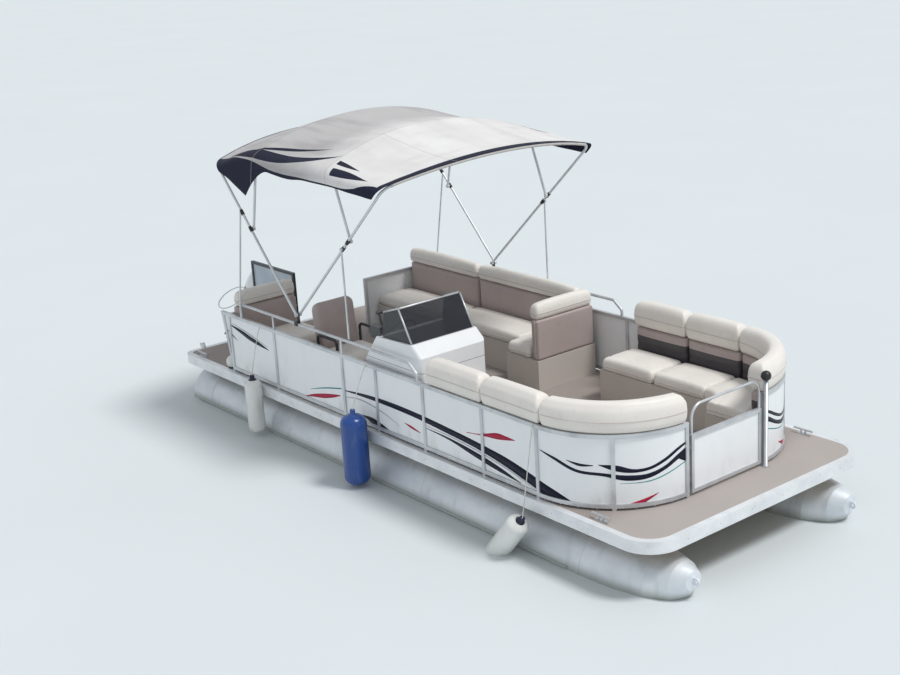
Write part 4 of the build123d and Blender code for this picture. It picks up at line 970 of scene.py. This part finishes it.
# Between the bows the cloth hangs as a parabola, with small drag folds towards the hems
BOW_AT = AT_LINE[[0, 1, 3, 4]]
HANG = np.array([0.030, 0.016, 0.034])
bay = np.clip(np.searchsorted(BOW_AT, AHEAD, side="right") - 1, 0, 2)
within = ((AHEAD - BOW_AT[bay]) / (BOW_AT[bay + 1] - BOW_AT[bay]))[:, None]
near_hem = np.clip(abs(ACROSS) / HEM, 0, 1)[None, :]
hang = 4 * within * (1 - within) * (1 - near_hem**4)
drag = np.sin(abs(ACROSS[None, :]) * 46 + within * 7 + bay[:, None] * 2.1)
pull = np.clip(abs(ACROSS) - 0.35, 0, 0.5)[None, :] * within * (1 - within)
cloth[:, :, 2] -= hang * HANG[bay][:, None] + drag * pull * 0.026
# each short bow lifts a soft ridge into the cloth
ridge = np.exp(-(((AHEAD[:, None] - BOW_AT[None, 1:3]) / 0.012) ** 2)).max(axis=1)[:, None]
cloth[:, :, 2] += ridge * 0.006 * (1 - near_hem**6)
# the deep flap blows a little inboard and its free edge waves
wave = 0.5 + 0.5 * np.sin(AHEAD[:, None] * 31)
cloth[:, :, 1] -= np.sign(ACROSS)[None, :] * free * depth * 0.012 * wave
uv = np.stack(np.broadcast_arrays(ACROSS[None, :], AHEAD[:, None]), axis=2)
canopy = piece("canopy", cloth, grid_faces(len(AHEAD), len(ACROSS)), CLOTH, None, uv=uv, merge=0)
finished(canopy, thickness=0.0022)
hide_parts("bimini_canopy")
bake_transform(canopy)

# A sleeve of the same cloth holds each bow's crown to the canopy
HOOP_IN = 0.031
SLEEVES = (
    ("aft_bow", "hull", AFT_HALF), ("aft_hoop", "aft_hoop", AFT_HALF - HOOP_IN),
    ("front_hoop", "front_hoop", FRONT_HALF - HOOP_IN), ("front_bow", "front_bow", FRONT_HALF),
)
for name, body, half in SLEEVES:
    foot, angle, top, crown_r = BOWS[name]
    outline = bow_outline(np.linspace(-0.80, 0.80, 70), half, 0.150, top, crown_r, 0)
    sleeve = sweep(in_leg_plane(foot, angle, *outline), ring(0.0145, 14))
    finished(group("sleeve_" + name, [sleeve], SLEEVE, body, merge=0), thickness=0.0016)

# Stripes: thin film on the fence's panels, cut off by the panels' edges

FOOT, HEAD = RAIL + 0.002, FENCE_TOP - DECK - RAIL - 0.002


def stripe(knots, side, inset):
    """A film stripe. Knots give distance along the fence, height above the deck and half
    width, and a smooth curve runs through all three."""
    knots = np.array(knots)
    place = travelled(knots[:, :2])
    at = np.linspace(0, place[-1], int(place[-1] / 0.018) + 3)
    curve = smooth_between(place, knots[:, None, :], at)[:, 0]
    middle, half = curve[:, :2], curve[:, 2]
    ahead = unit(np.gradient(middle, axis=0))
    normal = np.stack([-ahead[:, 1], ahead[:, 0]], axis=1) * np.maximum(half, 0.0008)[:, None]
    rows = middle[:, None] + normal[:, None] * np.array([-1.0, 0.0, 1.0])[None, :, None]
    height = DECK + np.clip(rows[..., 1], FOOT, HEAD)
    return fence_place(rows[..., 0], inset, height, side), grid_faces(len(at), 3)


# where the navy film crosses another it lies over it, so that the others are deeper in
NAVY_IN, OTHERS_IN = 0.0112, 0.0114
# Each stripe's knots: along the fence, above the deck, half width
STRIPES = {
    "navy": (NAVY_FILM, NAVY_IN, (
        # the long band that dives to the foot before the bow corner
        ((2.97, 0.262, 0.002), (3.25, 0.285, 0.013), (3.60, 0.300, 0.022), (4.08, 0.296, 0.025),
         (4.50, 0.272, 0.028), (4.95, 0.236, 0.031), (5.30, 0.188, 0.042), (5.60, 0.122, 0.047),
         (5.84, 0.058, 0.046), (6.04, -0.02, 0.034)),
        ((4.22, 0.214, 0.002), (4.54, 0.198, 0.010), (4.90, 0.150, 0.024), (5.15, 0.112, 0.022),
         (5.44, 0.062, 0.003)),
        # the double sweep round the bow corner
        ((5.68, 0.418, 0.003), (5.83, 0.380, 0.012), (6.02, 0.312, 0.012), (6.24, 0.294, 0.013),
         (6.42, 0.264, 0.022), (6.59, 0.266, 0.019), (6.73, 0.308, 0.016), (6.86, 0.372, 0.020),
         (6.95, 0.405, 0.026)),
        ((5.94, 0.388, 0.002), (6.05, 0.364, 0.011), (6.16, 0.366, 0.003)),
        ((6.20, 0.374, 0.002), (6.34, 0.346, 0.024), (6.47, 0.318, 0.015), (6.60, 0.326, 0.012),
         (6.73, 0.372, 0.013), (6.86, 0.436, 0.012), (6.95, 0.468, 0.008)),
        ((6.86, 0.350, 0.002), (6.92, 0.345, 0.028), (6.95, 0.340, 0.033)),
        # the raked panel's stripe and a thin one under it
        ((0.99, 0.500, 0.003), (1.20, 0.464, 0.020), (1.36, 0.430, 0.024), (1.55, 0.402, 0.018),
         (1.72, 0.374, 0.002)),
        ((0.93, 0.432, 0.002), (1.02, 0.392, 0.007), (1.12, 0.350, 0.001)),
        # darts behind the blue fender
        ((3.27, 0.092, 0.002), (3.42, 0.078, 0.026), (3.56, 0.060, 0.022), (3.69, 0.046, 0.002)),
    )),
    "crimson": (RED_FILM, OTHERS_IN, (
        ((2.33, 0.050, 0.002), (2.47, 0.088, 0.014), (2.64, 0.124, 0.022), (2.80, 0.162, 0.017),
         (2.93, 0.196, 0.005)),
        ((4.78, 0.322, 0.003), (4.94, 0.346, 0.005), (5.04, 0.366, 0.014), (5.18, 0.393, 0.026),
         (5.29, 0.404, 0.016), (5.39, 0.413, 0.002)),
        ((6.40, 0.038, 0.004), (6.50, 0.046, 0.022), (6.58, 0.076, 0.013), (6.67, 0.112, 0.002)),
        ((3.91, 0.182, 0.002), (4.00, 0.168, 0.011), (4.14, 0.146, 0.003)),
    )),
    "teal": (TEAL_FILM, OTHERS_IN, (
        ((2.42, 0.140, 0.002), (2.65, 0.205, 0.006), (2.96, 0.272, 0.006)),
        ((6.36, 0.222, 0.001), (6.60, 0.222, 0.004), (6.93, 0.310, 0.004)),
    )),
    "silver": (SILVER_FILM, OTHERS_IN, (
        ((2.97, 0.198, 0.002), (3.25, 0.235, 0.006), (3.62, 0.192, 0.006), (3.84, 0.132, 0.002)),
        ((4.18, 0.238, 0.002), (4.60, 0.222, 0.005), (5.00, 0.182, 0.006), (5.40, 0.112, 0.005),
         (5.66, 0.045, 0.002)),
        ((1.04, 0.520, 0.002), (1.30, 0.482, 0.007), (1.70, 0.405, 0.002)),
    )),
}
for colour, (film, inset, rows) in STRIPES.items():
    for side, word in SIDES:
        parts = [stripe(knots, side, inset) for knots in rows]
        finished(group(f"{colour}_stripes_{word}", parts, film, merge=0), thickness=0.0004)

# Fenders: turned from a profile, with end caps, and their lines

# a line's bend and end, inward and up from the head rail's outer edge, and its length as a
# share of the two straight stretches, as the line rounds the bend
OVER_RAIL = ((-0.012, 0.012), (RAIL - 0.006, 0.0043), 0.985)
BESIDE_RAIL = ((-0.016, -0.060), (-0.0043, -0.010), 0.999)
# each fender's place along, out from the deck's edge and up, its radius, length and lean
FENDERS = (
    ("fender_blue", "blue", 3.400, 0.135, 0.690, 0.120, 0.680, 0.0, OVER_RAIL),
    ("fenders_white", "white_aft", 1.600, 0.097, 0.650, 0.085, 0.560, 0.0, OVER_RAIL),
    ("fenders_white", "white_bow", 5.420, 0.105, 0.470, 0.095, 0.560, radians(40), BESIDE_RAIL),
)
LINE_D = 0.008
# outlines of (radius, height) pairs, counted from the body's lower or upper end
FENDER_FOOT = np.array([(0.0, -0.002), (0.018, 0.0)])
FENDER_NECK = np.array([(0.0205, 0.004), (0.0225, 0.010), (0.0225, 0.036), (0.0190, 0.040), (0.0, 0.040)])
FENDER_CAP = np.array([
    (0.0, 0.0415), (0.021, 0.0415), (0.0245, 0.036), (0.0245, 0.006), (0.040, -0.006),
    (0.043, -0.020), (0.036, -0.022), (0.0, -0.022),
])


def fender_body(radius, half):
    """A fender's profile: straight amidships, with ends that close nearly as ellipses."""
    share = np.linspace(-1, 1, 41)
    rounded = 0.75 * radius / half
    near_end = np.maximum(abs(share) - (1 - rounded), 0) / rounded
    taper = np.sqrt(np.clip(1 - near_end**2, 0, 1)) ** 0.9
    side = np.stack([np.maximum(radius * taper, 0.022), share * half], axis=1)
    return np.concatenate([FENDER_FOOT - (0, half), side, FENDER_NECK + (0, half)])


def hanging_line(name, knots):
    """A line from a fender's head to its end: a curve of the second degree, drawn towards
    the bend between them."""
    curve = bpy.data.curves.new("line_" + name, "CURVE")
    curve.dimensions = "3D"
    curve.bevel_depth = LINE_D / 2
    curve.bevel_resolution = 3
    curve.use_fill_caps = True
    spline = curve.splines.new("NURBS")
    spline.points.add(len(knots) - 1)
    for point, at in zip(spline.points, knots):
        point.co = (*at, 1.0)
    spline.order_u = 3
    spline.use_endpoint_u = True
    curve.materials.append(LINE)
    return added("fender_line_" + name, curve)


for node, name, along, out, z, radius, length, lean, (bend, hitch, share) in FENDERS:
    centre = np.array([STERN + along, -DECK_HALF - out, z])
    axis = np.array([sin(lean), 0, cos(lean)])
    half = length / 2
    skin, cap = (BLUE_FENDER, BLUE_FENDER) if name == "blue" else (WHITE_FENDER, CAP)
    body = group("inflated_fender_" + name, [turned(fender_body(radius, half), centre, axis, 40)], skin)
    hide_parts(node)
    group(f"fender_{name}_cap", [turned(FENDER_CAP + (0, half), centre, axis, 32)], cap)
    head = centre + axis * (half + 0.0403)
    rail = np.array([head[0], -FENCE_Y, FENCE_TOP])
    edge, end = rail + (0, *bend), rail + (0, *hitch)
    rope = hanging_line(name, (head, edge, end))
    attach(rope, "hull")
    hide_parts("fender_lines")
    rope_length = float(np.linalg.norm(edge - head) + np.linalg.norm(end - edge)) * share

# Small fittings


def repeated(shape, count, corners):
    """The faces of so many equal shapes that have so many corners each."""
    return (shape[None] + (np.arange(count) * corners)[:, None, None]).reshape(-1, 4)


def studs(places, outward, radius, high, sides=8):
    """A low dome at each place: a foot circle, a smaller one above it and a top point,
    laid out in the two directions across its outward direction."""
    places = np.asarray(places, float).reshape(-1, 3)
    outward = np.broadcast_to(np.asarray(outward, float), places.shape)
    helper = np.where(abs(outward[:, 2:]) > 0.9, [[1.0, 0, 0]], [[0, 0, 1.0]])
    first = unit(np.cross(outward, helper))
    second = np.cross(outward, first)
    circle = ring(1.0, sides)
    out = first[:, None] * circle[None, :, :1] + second[:, None] * circle[None, :, 1:]
    rows = np.stack([
        places[:, None] + out * radius * share + outward[:, None] * high * lift
        for share, lift in ((1.0, -0.3), (1.0, 0.25), (0.7, 0.8), (0.0, 1.0))
    ], axis=1)
    return rows, repeated(grid_faces(4, sides, False, True), len(places), 4 * sides)


def blocks(places, size, ahead=(1, 0, 0), above=(0, 0, 1)):
    """An equal box at each place, its length along 'ahead' and its height along 'above'."""
    ahead, above = np.asarray(ahead, float), np.asarray(above, float)
    axes = np.stack([ahead, np.cross(above, ahead), above])
    signs = np.array([[x, y, z] for x in (-1, 1) for y in (-1, 1) for z in (-1, 1)]) * np.asarray(size) / 2
    points = np.asarray(places, float).reshape(-1, 1, 3) + (signs @ axes)[None]
    shape = np.array([[0, 1, 3, 2], [4, 6, 7, 5], [0, 4, 5, 1], [2, 3, 7, 6], [0, 2, 6, 4], [1, 5, 7, 3]])
    return points, repeated(shape, len(points), 8)


def ball(radius, middle, start, count):
    """Profile of a ball from a start angle up to its top, with its middle at that height."""
    angle = np.linspace(start, pi / 2, count)
    return np.stack([radius * np.cos(angle), middle + radius * np.sin(angle)], axis=1)


# rivets along the fence's head and foot rails
RIVET_GAP, RIVET_R, RIVET_HIGH = 0.150, 0.0045, 0.0022
for side, word in SIDES:
    rows = []
    for height, aft in ((DECK + 0.016, 1.08), (FENCE_TOP - 0.016, 0.94)):
        along = np.arange(aft, CORNER_END - 0.03, RIVET_GAP)
        face = fence_place(along, 0.0, height, side)
        rows.append(studs(face, fence_place(along, -1.0, height, side) - face, RIVET_R, RIVET_HIGH))
    group(f"fence_rivets_{word}", rows, RAILS)

# screws along the deck's edge
SCREW_Z, SCREW_R, SCREW_HIGH = DECK - 0.050, 0.006, 0.0025
beside, athwart = np.arange(STERN + 0.25, BOW - 0.35, 0.40), np.arange(-0.90, 0.91, 0.36)
rows = [studs(spot(beside, side * DECK_HALF, SCREW_Z), (0, side, 0), SCREW_R, SCREW_HIGH)
        for side in (-1, 1)]
rows += [studs(spot(x, athwart, SCREW_Z), (way, 0, 0), SCREW_R, SCREW_HIGH)
         for x, way in ((STERN, -1), (BOW, 1))]
group("deck_edge_screws", rows, RAILS)

# weld beads round the tubes where their lengths join, rippled as they were laid
TUBE_R, TUBE_Y, TUBE_Z = 0.3175, DECK_HALF - 0.360, 0.3295
WELDS_AT = (0.42, 1.64, 2.86, 4.08, 5.30, 6.08)
RIPPLE, RIPPLES = 0.0006, 140
angle = np.linspace(0, 2 * pi, 97)[:-1]
bead = TUBE_R + RIPPLE * np.sin(angle * RIPPLES)
for side, word in SIDES:
    y, z = side * TUBE_Y + bead * np.cos(angle), TUBE_Z + bead * np.sin(angle)
    rows = [sweep(spot(STERN + x, y, z), ring(0.0052, 6), True, (1, 0, 0)) for x in WELDS_AT]
    group(f"tube_welds_{word}", rows, TUBE, merge=0)

# Helm: dials, wheel cap, switches and the screen's metal edge
DASH_RUN, DASH_RISE = 0.190, 0.240
DASH_OUT = np.array([-DASH_RISE, 0, DASH_RUN]) / hypot(DASH_RUN, DASH_RISE)
DASH_UP = np.array([DASH_RUN, 0, DASH_RISE]) / hypot(DASH_RUN, DASH_RISE)
DASH_MIDDLE = np.array([CONSOLE_AFT + 0.095, HELM_Y, DECK + 0.760])


def dash_place(right_of, above, out):
    """A point on the dash: right of its middle as seen by the helm, up along it, out of it."""
    return DASH_MIDDLE + np.array([0, -right_of, 0]) + DASH_UP * above + DASH_OUT * out


# profiles of (radius, height) pairs
RIM = ((0.0300, 0.0165), (0.0305, 0.0195), (0.0335, 0.0215), (0.0368, 0.0200), (0.0375, 0.0155))
GLASS = ((0.0, 0.0168), (0.0152, 0.0168), (0.0304, 0.0168))
WHEEL_CAP = ((0.0395, 0.1000), (0.0390, 0.1060), (0.0330, 0.1120), (0.0180, 0.1155), (0.0, 0.1165))
DIALS_AT = [dash_place(right_of, 0.055, 0) for right_of in (-0.060, 0.030, 0.120, 0.210)]
group("dial_rims", [turned(RIM, at, DASH_OUT, 36) for at in DIALS_AT], RAILS)
group("dials", [turned(GLASS, at, DASH_OUT, 36) for at in DIALS_AT], DIAL, merge=0)
group("wheel_cap", [turned(WHEEL_CAP, dash_place(0, -0.040, 0), DASH_OUT, 36)], RAILS, "helm_wheel")
SWITCHES_AT = [dash_place(right_of, -0.055, 0.012)
               for right_of in (-0.215, -0.185, -0.155, 0.155, 0.185, 0.215)]
points, faces = blocks(SWITCHES_AT, (0.034, 0.017, 0.014), DASH_UP, DASH_OUT)
finished(piece("switches", points, faces, BLACK, smooth=False), edge=0.002)

HIGH_OUT, HIGH_IN = CONSOLE_OUT + 0.020, CONSOLE_IN - 0.020
FOOT_X, FOOT_Z = CONSOLE_FRONT - 0.140, DECK + 0.8994
TOP_X, TOP_Z = CONSOLE_FRONT - 0.300, DECK + 1.190
AFT_X, AFT_Z = CONSOLE_AFT + 0.300, DECK + 1.120
CUT, EDGE_R = 0.02, 0.008
over_the_top = (
    (AFT_X, HIGH_OUT, AFT_Z), (TOP_X - CUT, HIGH_OUT, TOP_Z - 0.003), (TOP_X, HIGH_OUT + CUT, TOP_Z),
    (TOP_X, HIGH_IN - CUT, TOP_Z), (TOP_X - CUT, HIGH_IN, TOP_Z - 0.003), (AFT_X, HIGH_IN, AFT_Z),
)
rows = [capped(over_the_top, ring(EDGE_R, 10))]
rows += [capped(((FOOT_X, y, FOOT_Z + 0.004), (TOP_X, y, TOP_Z)), ring(EDGE_R, 10), above=(1, 0, 0))
         for y in (HIGH_OUT, HIGH_IN)]
group("screen_edge", rows, RAILS, merge=0)

# Pole with a dark knob beside the bow gate's free edge
pole_foot = (GATE_X + 0.0205, FENCE_Y - CORNER_R + 0.018, DECK)
POLE = ((0.0, 0.001), (0.034, 0.001), (0.034, 0.007), (0.019, 0.012), (0.019, 0.735), (0.0, 0.735))
group("gate_pole", [turned(POLE, pole_foot, sides=24)], BEAM)
group("gate_pole_knob", [turned(ball(0.042, 0.770, -pi / 2, 17), pole_foot)], BLACK)

# White ball with a dark cup, on the deck's edge behind the starboard fence
ball_foot = (STERN + 0.875, 0.058 - FENCE_Y, DECK)
CUP = ((0.0, 0.0005), (0.046, 0.0005), (0.050, 0.004), (0.044, 0.016), (0.030, 0.020), (0.0, 0.020))
group("edge_ball", [turned(ball(0.066, 0.066, -1.25, 19), ball_foot)], WHITE_FENDER)
group("edge_ball_cup", [turned(CUP, ball_foot)], CAP)

# Treads on the ladder's steps, which lie so far below its pivot
low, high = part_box("boarding_ladder")
PIVOT_Z, STEP_DROPS, STEP_R = DECK + 0.024, (0.190, 0.390, 0.590), 0.0112
treads = [((low.x + high.x) / 2, (low.y + high.y) / 2, PIVOT_Z - drop + STEP_R) for drop in STEP_DROPS]
points, faces = blocks(treads, (0.030, 0.300, 0.0035))
finished(piece("ladder_treads", points, faces, BLACK, "ladder", smooth=False), edge=0.001)

# Collars where the short bows and braces meet the long bows
COLLAR = ((0.0128, -0.030), (0.0170, -0.028), (0.0175, 0.0), (0.0170, 0.028), (0.0128, 0.030))
for name, body, joint, half, angle in (
    ("aft", "hull", AFT_JOINT, AFT_HALF, AFT_ANGLE),
    ("front", "front_bow", FRONT_JOINT, FRONT_HALF, FRONT_ANGLE),
    ("brace", "front_bow", on_leg(FRONT_ANGLE, 1.13), FRONT_HALF, FRONT_ANGLE),
    ("rear_brace", "hull", on_leg(AFT_ANGLE, 1.20), AFT_HALF, AFT_ANGLE),
):
    leg = (cos(angle), 0, sin(angle))
    rows = [turned(COLLAR, (joint[0], side * half, joint[1]), leg, 20) for side in (-1, 1)]
    group(f"bow_collars_{name}", rows, BLACK, body)

# Light and floor. The floor is at the waterline, as the boat lies afloat.

sun = added("sun", bpy.data.lights.new("sun", "SUN"))
sun.data.energy = 2.0
sun.data.angle = radians(14)
sun.rotation_euler = Vector((0.45, 0.22, 0.87)).to_track_quat("Z", "Y").to_euler()
world = bpy.data.worlds.new("sky")
bpy.context.scene.world = world
world.use_nodes = True
sky = world.node_tree.nodes["Background"].inputs
sky["Color"].default_value = (0.90, 0.95, 1.0, 1.0)
sky["Strength"].default_value = 0.62

floor_paint = Paint("pale_floor", (0.66, 0.70, 0.71), Specular_IOR_Level=0.2)
floor_paint.coat(floor_paint.noise(0.4, 4.0), (0.70, 0.74, 0.75))
floor_reach = np.array([-160.0, 160.0])
floor_points = spot(floor_reach[:, None], floor_reach[None, :], WATERLINE)
floor = piece("floor", floor_points, grid_faces(2, 2), floor_paint.done(0.6), None, merge=0)
